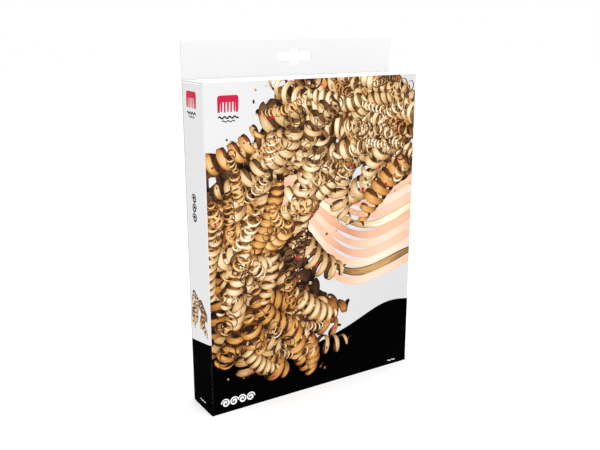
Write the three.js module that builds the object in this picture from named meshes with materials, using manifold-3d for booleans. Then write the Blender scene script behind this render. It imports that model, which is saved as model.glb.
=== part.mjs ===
// A hanging retail carton: a folded paperboard box with a two-ply hang header and a hang slot.
// Lengths are in millimetres. +Z is up, the printed front faces -Y, and the origin is the
// middle of the base.

import * as THREE from 'three';
import { mergeVertices } from 'three/addons/utils/BufferGeometryUtils.js';
import Module from 'manifold-3d';

const wasm = await Module();
wasm.setup();

// Outside sizes of the closed carton, without its header.
const CARTON_WIDTH = 242;
const CARTON_DEPTH = 44;
const CARTON_HEIGHT = 320;

// The board, its folds and the clearance between two boards that lie on each other.
const BOARD = 0.5;
const FOLD_RADIUS = 1.5;
const BOARD_GAP = 0.3;

// The hang header above the carton's top, and the slot through it.
const HEADER_HEIGHT = 35;
const SLOT_LENGTH = 41;
const SLOT_HEIGHT = 8.6;
const SLOT_END_FLAT = 0.2;
const SLOT_RISE = 18.6;
const HOOK_NOTCH_WIDTH = 11.5;
const HOOK_NOTCH_HEIGHT = 16;
const HOOK_NOTCH_CORNER = 3.5;

// The lid and its tuck tab.
const LID_SIDE_INSET = 0.5;
const TUCK_LENGTH = 14;
const TUCK_SIDE_INSET = 7;
const TUCK_CORNER = 9;
const TUCK_CREASE_DROP = 0.4;
const TUCK_SPARE_LEAN = THREE.MathUtils.degToRad(0.8);

// The flaps under the lid and over the bottom panel.
const DUST_FLAP_LENGTH = 42;
const BOTTOM_FLAP_LENGTH = 48;
const FLAP_FRONT_SETBACK = 3.5;
const FLAP_REAR_SETBACK = 1;
const FLAP_TAPER = 5;
const FLAP_CORNER = 4;

// How finely round stretches are cut into flats.
const FOLD_STEPS = 3;
const CORNER_STEPS = 5;

// Planes that more than one piece shares.
const HALF_WIDTH = CARTON_WIDTH / 2;
const FRONT_OUTSIDE = -CARTON_DEPTH / 2;
const FRONT_INSIDE = FRONT_OUTSIDE + BOARD;
const REAR_OUTSIDE = CARTON_DEPTH / 2;
const HANGER_INSIDE = REAR_OUTSIDE - BOARD;
const HEADER_FRONT = REAR_OUTSIDE - 2 * BOARD;
const SLEEVE_REAR = HANGER_INSIDE - BOARD_GAP;
const CAVITY_REAR = SLEEVE_REAR - BOARD;
const WALL_TOP = CARTON_HEIGHT - BOARD - BOARD_GAP;
const HEADER_TOP = CARTON_HEIGHT + HEADER_HEIGHT;

// The lid turns about the middle of its board, just in front of the header.
const LID_MIDDLE = CARTON_HEIGHT - BOARD / 2;
const LID_HINGE_Y = HEADER_FRONT - BOARD_GAP - BOARD / 2;
const LID_FRONT = FRONT_INSIDE + BOARD_GAP;
const LID_DEPTH = LID_HINGE_Y - LID_FRONT;

// The tab's crease lies under the lid's front edge. The tab leans into the carton just far
// enough for its free edge to pass behind the front wall as the lid swings up.
const TUCK_AXIS_Z = CARTON_HEIGHT - BOARD - TUCK_CREASE_DROP;
const TUCK_AXIS_DROP = LID_MIDDLE - TUCK_AXIS_Z;
const TUCK_LEAN = Math.asin((TUCK_LENGTH + 2 * TUCK_AXIS_DROP) / (2 * LID_DEPTH)) + TUCK_SPARE_LEAN;
const TUCK_AXIS_Y = LID_FRONT + BOARD / 2;

// A dust flap turns about the middle of its board, clear of the side wall by one gap.
const DUST_AXIS_X = HALF_WIDTH - BOARD - BOARD_GAP - BOARD / 2;
const DUST_MIDDLE = WALL_TOP - BOARD / 2;

const printedBoard = new THREE.MeshStandardMaterial({ color: 0xeeeeee, roughness: 0.38, metalness: 0 });
const headerBoard = new THREE.MeshStandardMaterial({ color: 0xf2f2f2, roughness: 0.42, metalness: 0 });
const lidBoard = new THREE.MeshStandardMaterial({ color: 0xf7f7f7, roughness: 0.38, metalness: 0 });
const innerBoard = new THREE.MeshStandardMaterial({ color: 0xd9d4c8, roughness: 0.85, metalness: 0 });
const baseBoard = new THREE.MeshStandardMaterial({ color: 0x101010, roughness: 0.42, metalness: 0 });

// Turns a closed geometry into a solid that can be cut or joined.
function toSolid(geometry) {
  const bare = geometry.clone();
  bare.deleteAttribute('normal');
  bare.deleteAttribute('uv');
  const merged = mergeVertices(bare);
  return new wasm.Manifold(new wasm.Mesh({
    numProp: 3,
    vertProperties: new Float32Array(merged.attributes.position.array),
    triVerts: new Uint32Array(merged.index.array),
  }));
}

// Turns a solid back into a geometry.
function toGeometry(solid) {
  const mesh = solid.getMesh();
  const geometry = new THREE.BufferGeometry();
  geometry.setAttribute('position', new THREE.BufferAttribute(new Float32Array(mesh.vertProperties), 3));
  geometry.setIndex(new THREE.BufferAttribute(new Uint32Array(mesh.triVerts), 1));
  geometry.computeVertexNormals();
  return geometry;
}

// A box between two corners.
function block(low, high) {
  const size = high.map((value, axis) => value - low[axis]);
  const geometry = new THREE.BoxGeometry(...size);
  return geometry.translate(...low.map((value, axis) => value + size[axis] / 2));
}

// Extrudes a flat outline straight, without bevels.
function extrude(outline, depth, steps) {
  return new THREE.ExtrudeGeometry(outline, { depth, curveSegments: steps, bevelEnabled: false });
}

// Turns a geometry so that its own x, y and z point along three world directions.
function turned(geometry, x, y, z) {
  const basis = new THREE.Matrix4().makeBasis(
    new THREE.Vector3(...x),
    new THREE.Vector3(...y),
    new THREE.Vector3(...z),
  );
  return geometry.applyMatrix4(basis);
}

// Draws a rectangle with four equal round corners on a shape or a hole's path.
function roundedRectangle(path, left, bottom, right, top, radius) {
  path.moveTo(right, bottom + radius);
  path.lineTo(right, top - radius);
  path.absarc(right - radius, top - radius, radius, 0, Math.PI / 2, false);
  path.lineTo(left + radius, top);
  path.absarc(left + radius, top - radius, radius, Math.PI / 2, Math.PI, false);
  path.lineTo(left, bottom + radius);
  path.absarc(left + radius, bottom + radius, radius, Math.PI, 1.5 * Math.PI, false);
  path.lineTo(right - radius, bottom);
  path.absarc(right - radius, bottom + radius, radius, 1.5 * Math.PI, 2 * Math.PI, false);
  return path;
}

// The tube of front, side and inner back walls. Only the front wall reaches the full height:
// the others stop under the lid.
function sleeveGeometry() {
  const outline = roundedRectangle(
    new THREE.Shape(), -HALF_WIDTH, FRONT_OUTSIDE, HALF_WIDTH, SLEEVE_REAR, FOLD_RADIUS,
  );
  outline.holes.push(roundedRectangle(
    new THREE.Path(),
    -HALF_WIDTH + BOARD, FRONT_INSIDE, HALF_WIDTH - BOARD, CAVITY_REAR, FOLD_RADIUS - BOARD,
  ));
  const tube = toSolid(extrude(outline, CARTON_HEIGHT, FOLD_STEPS));
  const aboveWalls = toSolid(block(
    [-CARTON_WIDTH, FRONT_INSIDE, WALL_TOP],
    [CARTON_WIDTH, CARTON_DEPTH, 2 * CARTON_HEIGHT],
  ));
  return toGeometry(tube.subtract(aboveWalls));
}

// The hang slot's outline: a long slot with round ends, and a notch in its middle for the hook.
function slotCutter() {
  const reach = 4 * BOARD;
  const slot = roundedRectangle(
    new THREE.Shape(),
    -SLOT_LENGTH / 2, -SLOT_HEIGHT / 2, SLOT_LENGTH / 2, SLOT_HEIGHT / 2,
    (SLOT_HEIGHT - SLOT_END_FLAT) / 2,
  );
  const notch = roundedRectangle(
    new THREE.Shape(),
    -HOOK_NOTCH_WIDTH / 2, -HOOK_NOTCH_HEIGHT / 2, HOOK_NOTCH_WIDTH / 2, HOOK_NOTCH_HEIGHT / 2,
    HOOK_NOTCH_CORNER,
  );
  const [slotSolid, notchSolid] = [slot, notch].map((outline) => {
    const geometry = turned(extrude(outline, reach, CORNER_STEPS), [1, 0, 0], [0, 0, 1], [0, -1, 0]);
    return toSolid(geometry.translate(0, REAR_OUTSIDE + BOARD, CARTON_HEIGHT + SLOT_RISE));
  });
  return slotSolid.add(notchSolid);
}

// The panel glued on the back. It runs up past the top and is folded down over itself, so the
// header has two plies with a round fold along its top.
function hangerGeometry() {
  const profile = new THREE.Shape();
  profile.moveTo(REAR_OUTSIDE, 0);
  profile.lineTo(REAR_OUTSIDE, HEADER_TOP - BOARD);
  profile.absarc(HANGER_INSIDE, HEADER_TOP - BOARD, BOARD, 0, Math.PI, false);
  profile.lineTo(HEADER_FRONT, CARTON_HEIGHT);
  profile.lineTo(HANGER_INSIDE, CARTON_HEIGHT);
  profile.lineTo(HANGER_INSIDE, 0);
  profile.closePath();
  const panel = turned(extrude(profile, CARTON_WIDTH, FOLD_STEPS), [0, 1, 0], [0, 0, 1], [1, 0, 0]);
  return toGeometry(toSolid(panel.translate(-HALF_WIDTH, 0, 0)).subtract(slotCutter()));
}

// The outline of a flap that grows from a crease at x = 0: one straight end, a taper along the
// front and two round corners at its free end.
function flapOutline(length, towards) {
  const front = FRONT_INSIDE + FLAP_FRONT_SETBACK;
  const rear = CAVITY_REAR - FLAP_REAR_SETBACK;
  const outline = new THREE.Shape();
  outline.moveTo(0, front);
  outline.lineTo(towards * (length - FLAP_CORNER), front + FLAP_TAPER);
  outline.quadraticCurveTo(
    towards * length, front + FLAP_TAPER, towards * length, front + FLAP_TAPER + FLAP_CORNER,
  );
  outline.lineTo(towards * length, rear - FLAP_CORNER);
  outline.quadraticCurveTo(towards * length, rear, towards * (length - FLAP_CORNER), rear);
  outline.lineTo(0, rear);
  outline.closePath();
  return outline;
}

// A flat flap of one board, centred on its crease's height.
function flapGeometry(length, towards) {
  return extrude(flapOutline(length, towards), BOARD, CORNER_STEPS).translate(0, 0, -BOARD / 2);
}

// The tuck tab hangs from its crease, with round corners at its free edge.
function tuckGeometry() {
  const half = HALF_WIDTH - TUCK_SIDE_INSET;
  const outline = new THREE.Shape();
  outline.moveTo(-half, 0);
  outline.lineTo(-half, -TUCK_LENGTH + TUCK_CORNER);
  outline.absarc(-half + TUCK_CORNER, -TUCK_LENGTH + TUCK_CORNER, TUCK_CORNER, Math.PI, 1.5 * Math.PI, false);
  outline.lineTo(half - TUCK_CORNER, -TUCK_LENGTH);
  outline.absarc(half - TUCK_CORNER, -TUCK_LENGTH + TUCK_CORNER, TUCK_CORNER, 1.5 * Math.PI, 2 * Math.PI, false);
  outline.lineTo(half, 0);
  outline.closePath();
  const tab = extrude(outline, BOARD, CORNER_STEPS).translate(0, 0, -BOARD / 2);
  return turned(tab, [1, 0, 0], [0, 0, 1], [0, -1, 0]);
}

// A named mesh at its place.
function piece(name, geometry, material, place = [0, 0, 0]) {
  const mesh = new THREE.Mesh(geometry, material);
  mesh.name = name;
  mesh.position.set(...place);
  return mesh;
}

const carton = new THREE.Group();

carton.add(piece('sleeve', sleeveGeometry(), printedBoard));
carton.add(piece('hanger_panel', hangerGeometry(), headerBoard));

// The bottom panel lies between the walls, flush with their lower edges.
carton.add(piece('bottom_panel', block(
  [-HALF_WIDTH + FOLD_RADIUS + BOARD_GAP, FRONT_INSIDE + BOARD_GAP, 0],
  [HALF_WIDTH - FOLD_RADIUS - BOARD_GAP, CAVITY_REAR - BOARD_GAP, BOARD],
), baseBoard));

// The lid reaches over the side walls and stops behind the front wall.
carton.add(piece('lid_panel', block(
  [-HALF_WIDTH + LID_SIDE_INSET, LID_FRONT, CARTON_HEIGHT - BOARD],
  [HALF_WIDTH - LID_SIDE_INSET, LID_HINGE_Y, CARTON_HEIGHT],
), lidBoard));

const tuckTab = piece('tuck_tab', tuckGeometry(), lidBoard, [0, TUCK_AXIS_Y, TUCK_AXIS_Z]);
tuckTab.rotation.x = TUCK_LEAN;
carton.add(tuckTab);

// Each side wall carries a dust flap under the lid and a glued flap over the bottom panel.
for (const [side, towards] of [['left', 1], ['right', -1]]) {
  const creaseX = -towards * DUST_AXIS_X;
  carton.add(piece(
    `dust_flap_${side}`, flapGeometry(DUST_FLAP_LENGTH, towards), innerBoard,
    [creaseX, 0, DUST_MIDDLE],
  ));
  carton.add(piece(
    `bottom_flap_${side}`, flapGeometry(BOTTOM_FLAP_LENGTH, towards), innerBoard,
    [creaseX, 0, 1.5 * BOARD + BOARD_GAP],
  ));
}

export default carton;
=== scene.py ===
"""A hanging retail carton of printed paperboard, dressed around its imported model.

The pieces are in metres: MM turns the lengths that are given in millimetres into them. The
print is drawn in millimetres and turned as it is laid on a wall. The carton stands on its
base, its printed front faces -Y and its hang header rises along the back.
"""
import logging
import math
import random
from collections.abc import Callable, Iterable, Sequence
from dataclasses import dataclass, field
from enum import Enum

import bmesh
import bpy
import numpy as np
from mathutils import Euler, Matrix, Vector
from mathutils.geometry import delaunay_2d_cdt


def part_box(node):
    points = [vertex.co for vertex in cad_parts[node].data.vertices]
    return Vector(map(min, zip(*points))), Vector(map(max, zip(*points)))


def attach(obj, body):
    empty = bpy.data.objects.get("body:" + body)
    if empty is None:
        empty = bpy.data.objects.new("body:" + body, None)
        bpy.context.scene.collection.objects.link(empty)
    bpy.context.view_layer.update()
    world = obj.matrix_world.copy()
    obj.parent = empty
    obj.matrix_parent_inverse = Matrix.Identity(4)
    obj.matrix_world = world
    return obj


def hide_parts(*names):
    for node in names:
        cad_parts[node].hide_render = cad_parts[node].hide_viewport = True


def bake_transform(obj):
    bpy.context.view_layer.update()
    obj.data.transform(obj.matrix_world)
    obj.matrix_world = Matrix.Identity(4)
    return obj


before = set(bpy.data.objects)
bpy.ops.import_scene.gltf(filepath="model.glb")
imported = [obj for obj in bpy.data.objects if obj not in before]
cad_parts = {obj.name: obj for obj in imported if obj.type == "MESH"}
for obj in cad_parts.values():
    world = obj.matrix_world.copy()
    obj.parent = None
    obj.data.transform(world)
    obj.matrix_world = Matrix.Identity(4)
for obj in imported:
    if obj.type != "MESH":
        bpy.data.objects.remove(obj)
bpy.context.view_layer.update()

MM = 0.001
SMOOTH_ANGLE = math.radians(35)
TINY = 1e-6
NOTHING = 1e-9
FOLD_RADIUS = 1.5 * MM
PLY_GAP = 0.3 * MM
FOOT_FRONT = 75.0 * MM
FOOT_REAR = 67.0 * MM
log = logging.getLogger("carton")

Pair = tuple[float, float]
Triple = tuple[float, float, float]
Colour = Triple
Rect = tuple[float, float, float, float]
Socket = bpy.types.NodeSocket
Value = Socket | float
Piece = bpy.types.Object
Material = bpy.types.Material
Profile = list[tuple[Pair, Pair]]
Place = Callable[[float, float, float], Vector]
Inked = Callable[[int, int], bool]


class Body(str, Enum):
    """The bodies that the carton's pieces ride on."""

    CARTON = "carton"
    LID = "lid"
    TUCK = "tuck"
    LEFT_FLAP = "left_flap"
    RIGHT_FLAP = "right_flap"


class Slot(str, Enum):
    """The record's material slots."""

    PRINT = "printed_board"
    HEADER = "header_board"
    LID = "lid_board"
    INSIDE = "inner_board"


class Side(Enum):
    """A side wall, by the sign of its x."""

    LEFT = -1
    RIGHT = 1


class Graph:
    """A node tree with short calls that add and link its nodes."""

    def __init__(self, tree: bpy.types.NodeTree) -> None:
        """Wraps the shader or geometry tree to build in."""
        self.tree = tree

    def node(self, kind: str, inputs: dict | None = None, **settings: object) -> bpy.types.Node:
        """Adds a node.

        Args:
            kind: the node's type name.
            inputs: values or sockets by input name or number.
            settings: the node's own properties.

        Returns:
            The new node.
        """
        made = self.tree.nodes.new(kind)
        for name, value in settings.items():
            setattr(made, name, value)
        for key, value in (inputs or {}).items():
            self.feed(made.inputs[key], value)
        return made

    def feed(self, socket: Socket, value: Socket | float | tuple | str) -> None:
        """Links a socket to an input, or sets the input's own value.

        Args:
            socket: the input.
            value: the socket or the value.
        """
        if isinstance(value, bpy.types.NodeSocket):
            self.tree.links.new(value, socket)
        elif isinstance(value, tuple) and len(value) == 3 and socket.type == "RGBA":
            socket.default_value = (*value, 1.0)
        else:
            socket.default_value = value

    def math(self, operation: str, *values: Value, clamp: bool = False) -> Socket:
        """Returns the result of a Math node on values or sockets."""
        made = self.node("ShaderNodeMath", dict(enumerate(values)), operation=operation, use_clamp=clamp)
        return made.outputs[0]

    def mix(self, factor: Value, low: Socket | Colour, high: Socket | Colour) -> Socket:
        """Returns a colour between two colours."""
        return self.node("ShaderNodeMix", {0: factor, 6: low, 7: high}, data_type="RGBA").outputs[2]

    def ramp(self, factor: Value, stops: Sequence[tuple[float, Colour]]) -> Socket:
        """Adds a colour ramp.

        Args:
            factor: the place on the ramp.
            stops: places and their colours, from 0 to 1.

        Returns:
            The ramp's colour.
        """
        made = self.node("ShaderNodeValToRGB", {"Fac": factor})
        elements = made.color_ramp.elements
        while len(elements) < len(stops):
            elements.new(1.0)
        for element, (place, colour) in zip(elements, stops):
            element.position = place
            element.color = (*colour, 1.0)
        return made.outputs["Color"]

    def window(self, value: Value, low: float, high: float) -> Socket:
        """Returns 0 at low, 1 at high and a smooth step between them."""
        span = {"Value": value, "From Min": low, "From Max": high}
        return self.node("ShaderNodeMapRange", span, interpolation_type="SMOOTHSTEP").outputs["Result"]

    def named(self, name: str) -> Socket:
        """Returns a named value of the points that a geometry tree draws."""
        made = self.node("GeometryNodeInputNamedAttribute", {"Name": name}, data_type="FLOAT")
        return made.outputs["Attribute"]

    def attribute(self, name: str) -> Socket:
        """Returns a mesh attribute's value."""
        return self.node("ShaderNodeAttribute", attribute_name=name).outputs["Fac"]

    def vector(self, x: Value, y: Value, z: Value) -> Socket:
        """Returns a vector of three values."""
        return self.node("ShaderNodeCombineXYZ", {0: x, 1: y, 2: z}).outputs[0]

    def noise(self, place: Socket, scale: float, detail: float = 3.0) -> Socket:
        """Returns a noise texture's value."""
        given = {"Vector": place, "Scale": scale, "Detail": detail}
        return self.node("ShaderNodeTexNoise", given).outputs["Fac"]


def shader_group(
    name: str,
    inputs: Sequence[tuple[str, str]],
    outputs: Sequence[str],
    build: Callable[[Graph, dict], dict],
) -> bpy.types.NodeTree:
    """Makes a shader node group of masks and values.

    Args:
        name: the group's name.
        inputs: each input's name and socket type.
        outputs: the names of its value outputs.
        build: makes the nodes from the input sockets and returns a socket for each output.

    Returns:
        The group's tree.
    """
    tree = bpy.data.node_groups.new(name, "ShaderNodeTree")
    for label, kind in inputs:
        tree.interface.new_socket(label, in_out="INPUT", socket_type=kind)
    for label in outputs:
        tree.interface.new_socket(label, in_out="OUTPUT", socket_type="NodeSocketFloat")
    graph = Graph(tree)
    start = graph.node("NodeGroupInput")
    end = graph.node("NodeGroupOutput")
    made = build(graph, {label: start.outputs[label] for label, _ in inputs})
    for label in outputs:
        graph.feed(end.inputs[label], made[label])
    return tree


@dataclass
class Effects:
    """The effects that several finishes share.

    Scales are in cells to a metre. Lines are in cells across a ribbon and in cells to a
    millimetre along it. A fold's cracks are whole up to the core and end at the reach.
    """

    peel_scale: float = 1100.0
    peel_share: float = 0.35
    swell_scale: float = 45.0
    tone_scale: float = 14.0
    crack_scale: float = 900.0
    crack_flecks: Pair = (0.5, 0.62)
    crack_reach: float = 0.9 * MM
    crack_core: float = 0.1 * MM
    fine_lines: Pair = (26.0, 0.11)
    broad_lines: Pair = (6.0, 0.05)
    fine_share: float = 0.55
    rim_power: float = 5.0

    def __post_init__(self) -> None:
        """Builds each group once."""
        vector, value = "NodeSocketVector", "NodeSocketFloat"
        self.grain = shader_group(
            "Board grain", [("Place", vector)], ["Height", "Tone", "Gloss"], self._grain
        )
        self.crease = shader_group(
            "Crease wear", [("Place", vector), ("Distance", value)], ["Crack"], self._crease
        )
        self.streaks = shader_group(
            "Ink streaks",
            [("Along", value), ("Across", value), ("Seed", value)],
            ["Streak", "Rim"],
            self._streaks,
        )

    def _grain(self, graph: Graph, given: dict) -> dict:
        """Draws the coated board's fine orange peel on a slow swell, and its mottling.

        Args:
            graph: the group's nodes.
            given: the place on the object.

        Returns:
            The height, the tone and the gloss.
        """
        place = given["Place"]
        peel = graph.noise(place, self.peel_scale, 4.0)
        swell = graph.noise(place, self.swell_scale, 2.0)
        height = graph.math("MULTIPLY_ADD", peel, self.peel_share, swell)
        return {"Height": height, "Tone": graph.noise(place, self.tone_scale), "Gloss": swell}

    def _crease(self, graph: Graph, given: dict) -> dict:
        """Draws broken pale cracks in the ink along a fold.

        Args:
            graph: the group's nodes.
            given: the place on the object and the distance from the fold's middle.

        Returns:
            The cracks' mask.
        """
        near = graph.window(given["Distance"], self.crack_reach, self.crack_core)
        flecks = graph.window(graph.noise(given["Place"], self.crack_scale, 5.0), *self.crack_flecks)
        return {"Crack": graph.math("MULTIPLY", near, flecks)}

    def _streaks(self, graph: Graph, given: dict) -> dict:
        """Draws fine lines that run along a printed ribbon, and its shaded rim.

        Args:
            graph: the group's nodes.
            given: the place along and across the ribbon and its seed.

        Returns:
            The streaks and the rim.
        """
        parts = []
        shares = (self.fine_share, 1.0 - self.fine_share)
        for (across, along), share in zip((self.fine_lines, self.broad_lines), shares):
            lines = graph.vector(
                graph.math("MULTIPLY", given["Across"], across),
                graph.math("MULTIPLY", given["Along"], along),
                graph.math("ADD", given["Seed"], across),
            )
            parts.append(graph.math("MULTIPLY", graph.noise(lines, 1.0), share))
        centred = graph.math("ABSOLUTE", graph.math("SUBTRACT", given["Across"], 0.5))
        rim = graph.math("POWER", graph.math("MULTIPLY", centred, 2.0), self.rim_power)
        return {"Streak": graph.math("ADD", *parts), "Rim": rim}


@dataclass(frozen=True)
class Varnish:
    """How an ink or a board surface shines."""

    roughness: float = 0.40
    spread: float = 0.10
    specular: float = 0.03
    bump: float = 0.05
    bump_depth: float = 0.04 * MM


@dataclass(frozen=True)
class Finish:
    """A finished surface: its colour recipe and its varnish."""

    name: str
    effects: Effects
    varnish: Varnish = field(default_factory=Varnish)

    def colour(self, graph: Graph, place: Socket, tone: Socket) -> Socket:
        """Returns the colour at a place; tone is a slow mottling from 0 to 1."""
        raise NotImplementedError

    def make(self) -> Material:
        """Builds the material.

        Returns:
            The finished material.
        """
        material = bpy.data.materials.new(self.name)
        material.use_nodes = True
        material.node_tree.nodes.clear()
        graph = Graph(material.node_tree)
        place = graph.node("ShaderNodeTexCoord").outputs["Object"]
        grain = graph.node("ShaderNodeGroup", node_tree=self.effects.grain)
        graph.feed(grain.inputs["Place"], place)
        colour = self.colour(graph, place, grain.outputs["Tone"])
        varnish = self.varnish
        uneven = graph.math("MULTIPLY", graph.math("SUBTRACT", grain.outputs["Gloss"], 0.5), varnish.spread)
        bump = graph.node(
            "ShaderNodeBump",
            {"Strength": varnish.bump, "Distance": varnish.bump_depth, "Height": grain.outputs["Height"]},
        )
        shader = graph.node("ShaderNodeBsdfPrincipled", {
            "Base Color": colour,
            "Roughness": graph.math("ADD", uneven, varnish.roughness),
            "Specular IOR Level": varnish.specular,
            "Normal": bump.outputs["Normal"],
        })
        output = graph.node("ShaderNodeOutputMaterial")
        graph.feed(output.inputs["Surface"], shader.outputs["BSDF"])
        return material


@dataclass(frozen=True)
class PlainBoard(Finish):
    """Board or a solid ink with a faint mottling between two near tones."""

    low: Colour = (0.715, 0.715, 0.715)
    high: Colour = (0.745, 0.745, 0.745)

    def colour(self, graph: Graph, place: Socket, tone: Socket) -> Socket:
        """Returns the mottled tone."""
        return graph.mix(tone, self.low, self.high)


@dataclass(frozen=True)
class RawEdge(Finish):
    """A cut edge of board: pale plies with darker fibre lines."""

    pale: Colour = (0.75, 0.745, 0.735)
    dark: Colour = (0.56, 0.55, 0.535)
    fibre_scale: float = 1800.0
    fibres: Pair = (0.35, 0.7)

    def colour(self, graph: Graph, place: Socket, tone: Socket) -> Socket:
        """Returns the layered grey of the core."""
        fibres = graph.window(graph.noise(place, self.fibre_scale, 4.0), *self.fibres)
        return graph.mix(fibres, self.dark, self.pale)


@dataclass(frozen=True)
class WrapBoard(PlainBoard):
    """The coated wrap: its front's ground darkens from left to right, its sides are even.

    Attributes:
        half_front: half of the front's flat width, along the wrap.
        blend: how far the two tones run into each other at a fold.
    """

    half_front: float = 0.0
    left: Colour = (0.70, 0.70, 0.705)
    right: Colour = (0.61, 0.61, 0.62)
    blend: float = 1.2 * MM

    def colour(self, graph: Graph, place: Socket, tone: Socket) -> Socket:
        """Mixes the front's ground and the sides' tone.

        Args:
            graph: the material's nodes.
            place: the place on the object; not used.
            tone: a slow mottling from 0 to 1.

        Returns:
            The colour.
        """
        wrap = graph.attribute("wrap")
        past_fold = graph.math("SUBTRACT", graph.math("ABSOLUTE", wrap), self.half_front)
        front = graph.mix(graph.window(wrap, -self.half_front, self.half_front), self.left, self.right)
        side = graph.mix(tone, self.low, self.high)
        return graph.mix(graph.window(past_fold, 0.0, self.blend), front, side)


@dataclass(frozen=True)
class BlackFoot(PlainBoard):
    """The black foot of the carton's walls, whose ink is cracked along the folds.

    Attributes:
        half_front: half of the front's flat width, along the wrap.
        fold: how far past it the fold's middle lies.
    """

    half_front: float = 0.0
    fold: float = 1.1 * MM
    board: Colour = (0.035, 0.034, 0.032)

    def colour(self, graph: Graph, place: Socket, tone: Socket) -> Socket:
        """Works out the ink and its cracks.

        Args:
            graph: the material's nodes.
            place: the place on the object.
            tone: a slow mottling from 0 to 1.

        Returns:
            The colour.
        """
        wrap = graph.math("ABSOLUTE", graph.attribute("wrap"))
        away = graph.math("ABSOLUTE", graph.math("SUBTRACT", wrap, self.half_front + self.fold))
        wear = graph.node("ShaderNodeGroup", node_tree=self.effects.crease)
        graph.feed(wear.inputs["Place"], place)
        graph.feed(wear.inputs["Distance"], away)
        return graph.mix(wear.outputs["Crack"], graph.mix(tone, self.low, self.high), self.board)


@dataclass(frozen=True)
class RibbonInk(Finish):
    """The ink of a printed ribbon: a ramp of tones lit along its turns and streaked lengthways."""

    stops: tuple[tuple[float, Colour], ...] = ()
    streak: float = 1.0
    rim: float = 0.40

    def colour(self, graph: Graph, place: Socket, tone: Socket) -> Socket:
        """Works out the ribbon's tone from its light, its streaks and its rim.

        Args:
            graph: the material's nodes.
            place: the place on the object; not used.
            tone: a slow mottling from 0 to 1; not used.

        Returns:
            The colour.
        """
        streaks = graph.node("ShaderNodeGroup", node_tree=self.effects.streaks)
        for name in ("Along", "Across", "Seed"):
            graph.feed(streaks.inputs[name], graph.attribute(name.lower()))
        uneven = graph.math("MULTIPLY", graph.math("SUBTRACT", streaks.outputs["Streak"], 0.5), self.streak)
        shade = graph.math("MULTIPLY", streaks.outputs["Rim"], self.rim)
        lit = graph.math("ADD", graph.attribute("lit"), uneven)
        return graph.ramp(graph.math("SUBTRACT", lit, shade, clamp=True), self.stops)


GOLD = (
    (0.0, (0.014, 0.006, 0.003)),
    (0.2, (0.09, 0.036, 0.014)),
    (0.4, (0.275, 0.136, 0.046)),
    (0.6, (0.52, 0.305, 0.124)),
    (0.8, (0.72, 0.52, 0.275)),
    (1.0, (0.945, 0.865, 0.675)),
)
COPPER = (
    (0.0, (0.012, 0.005, 0.003)),
    (0.25, (0.08, 0.026, 0.008)),
    (0.55, (0.34, 0.131, 0.03)),
    (0.8, (0.64, 0.315, 0.085)),
    (1.0, (0.85, 0.58, 0.27)),
)
UMBER = (
    (0.0, (0.008, 0.004, 0.003)),
    (0.5, (0.06, 0.026, 0.013)),
    (0.85, (0.2, 0.096, 0.042)),
    (1.0, (0.42, 0.24, 0.11)),
)
PEACH = (
    (0.0, (0.48, 0.19, 0.11)),
    (0.35, (0.72, 0.37, 0.23)),
    (0.7, (0.85, 0.53, 0.37)),
    (1.0, (0.95, 0.74, 0.61)),
)


class Ink(Enum):
    """The inks of the print, in the order of their material slots."""

    GOLD = 0
    COPPER = 1
    UMBER = 2
    PEACH = 3
    BLACK = 4
    RED = 5
    WHITE = 6


def grey(value: float) -> Colour:
    """Returns an even grey."""
    return (value, value, value)


class Palette:
    """Every finish of the carton, made once."""

    def __init__(self, sizes: "Sizes") -> None:
        """Builds the materials.

        Args:
            sizes: the carton's sizes, which the printed bands follow.
        """
        effects = Effects()
        matt = Varnish(roughness=0.75, spread=0.08, specular=0.1, bump=0.2)
        dead = Varnish(roughness=0.55, specular=0.001)
        self.printed = WrapBoard(
            "Printed board", effects, low=grey(0.68), high=grey(0.715),
            half_front=sizes.flat_half,
        ).make()
        self.foot = BlackFoot(
            "Black foot", effects, dead, low=(0.0005, 0.0005, 0.0006), high=(0.0010, 0.0010, 0.0012),
            half_front=sizes.flat_half,
        ).make()
        self.white = PlainBoard("White board", effects).make()
        # Painted light: the lid board's tones are much lighter than the white board's, to stand in for the
        # light that falls on the carton's top from above; the tuck tab, the creases and the dust flaps share
        # it through lid_board.
        self.lid = PlainBoard("Lid board", effects, low=grey(0.91), high=grey(0.94)).make()
        self.inside = PlainBoard(
            "Uncoated inside", effects, matt, low=(0.50, 0.47, 0.42), high=(0.58, 0.55, 0.50)
        ).make()
        self.raw = RawEdge("Cut edge", effects, matt).make()
        self.white_board = [self.white, self.inside, self.raw, self.foot]
        self.printed_board = [self.printed, self.inside, self.raw, self.foot]
        self.lid_board = [self.lid, self.inside, self.raw]
        ramps = (("Gold", GOLD), ("Copper", COPPER), ("Umber", UMBER))
        black, thin_black = (0.0004, 0.0004, 0.0007), (0.0010, 0.0010, 0.0014)
        self.inks = [
            *(RibbonInk(f"{name} ribbon ink", effects, stops=stops).make() for name, stops in ramps),
            RibbonInk("Peach ribbon ink", effects, stops=PEACH, streak=0.30, rim=0.15).make(),
            PlainBoard("Black ink", effects, dead, low=black, high=thin_black).make(),
            PlainBoard("Red ink", effects, low=(0.50, 0.012, 0.050), high=(0.57, 0.018, 0.062)).make(),
            PlainBoard("White ink", effects, low=grey(0.86), high=grey(0.92)).make(),
        ]


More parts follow.
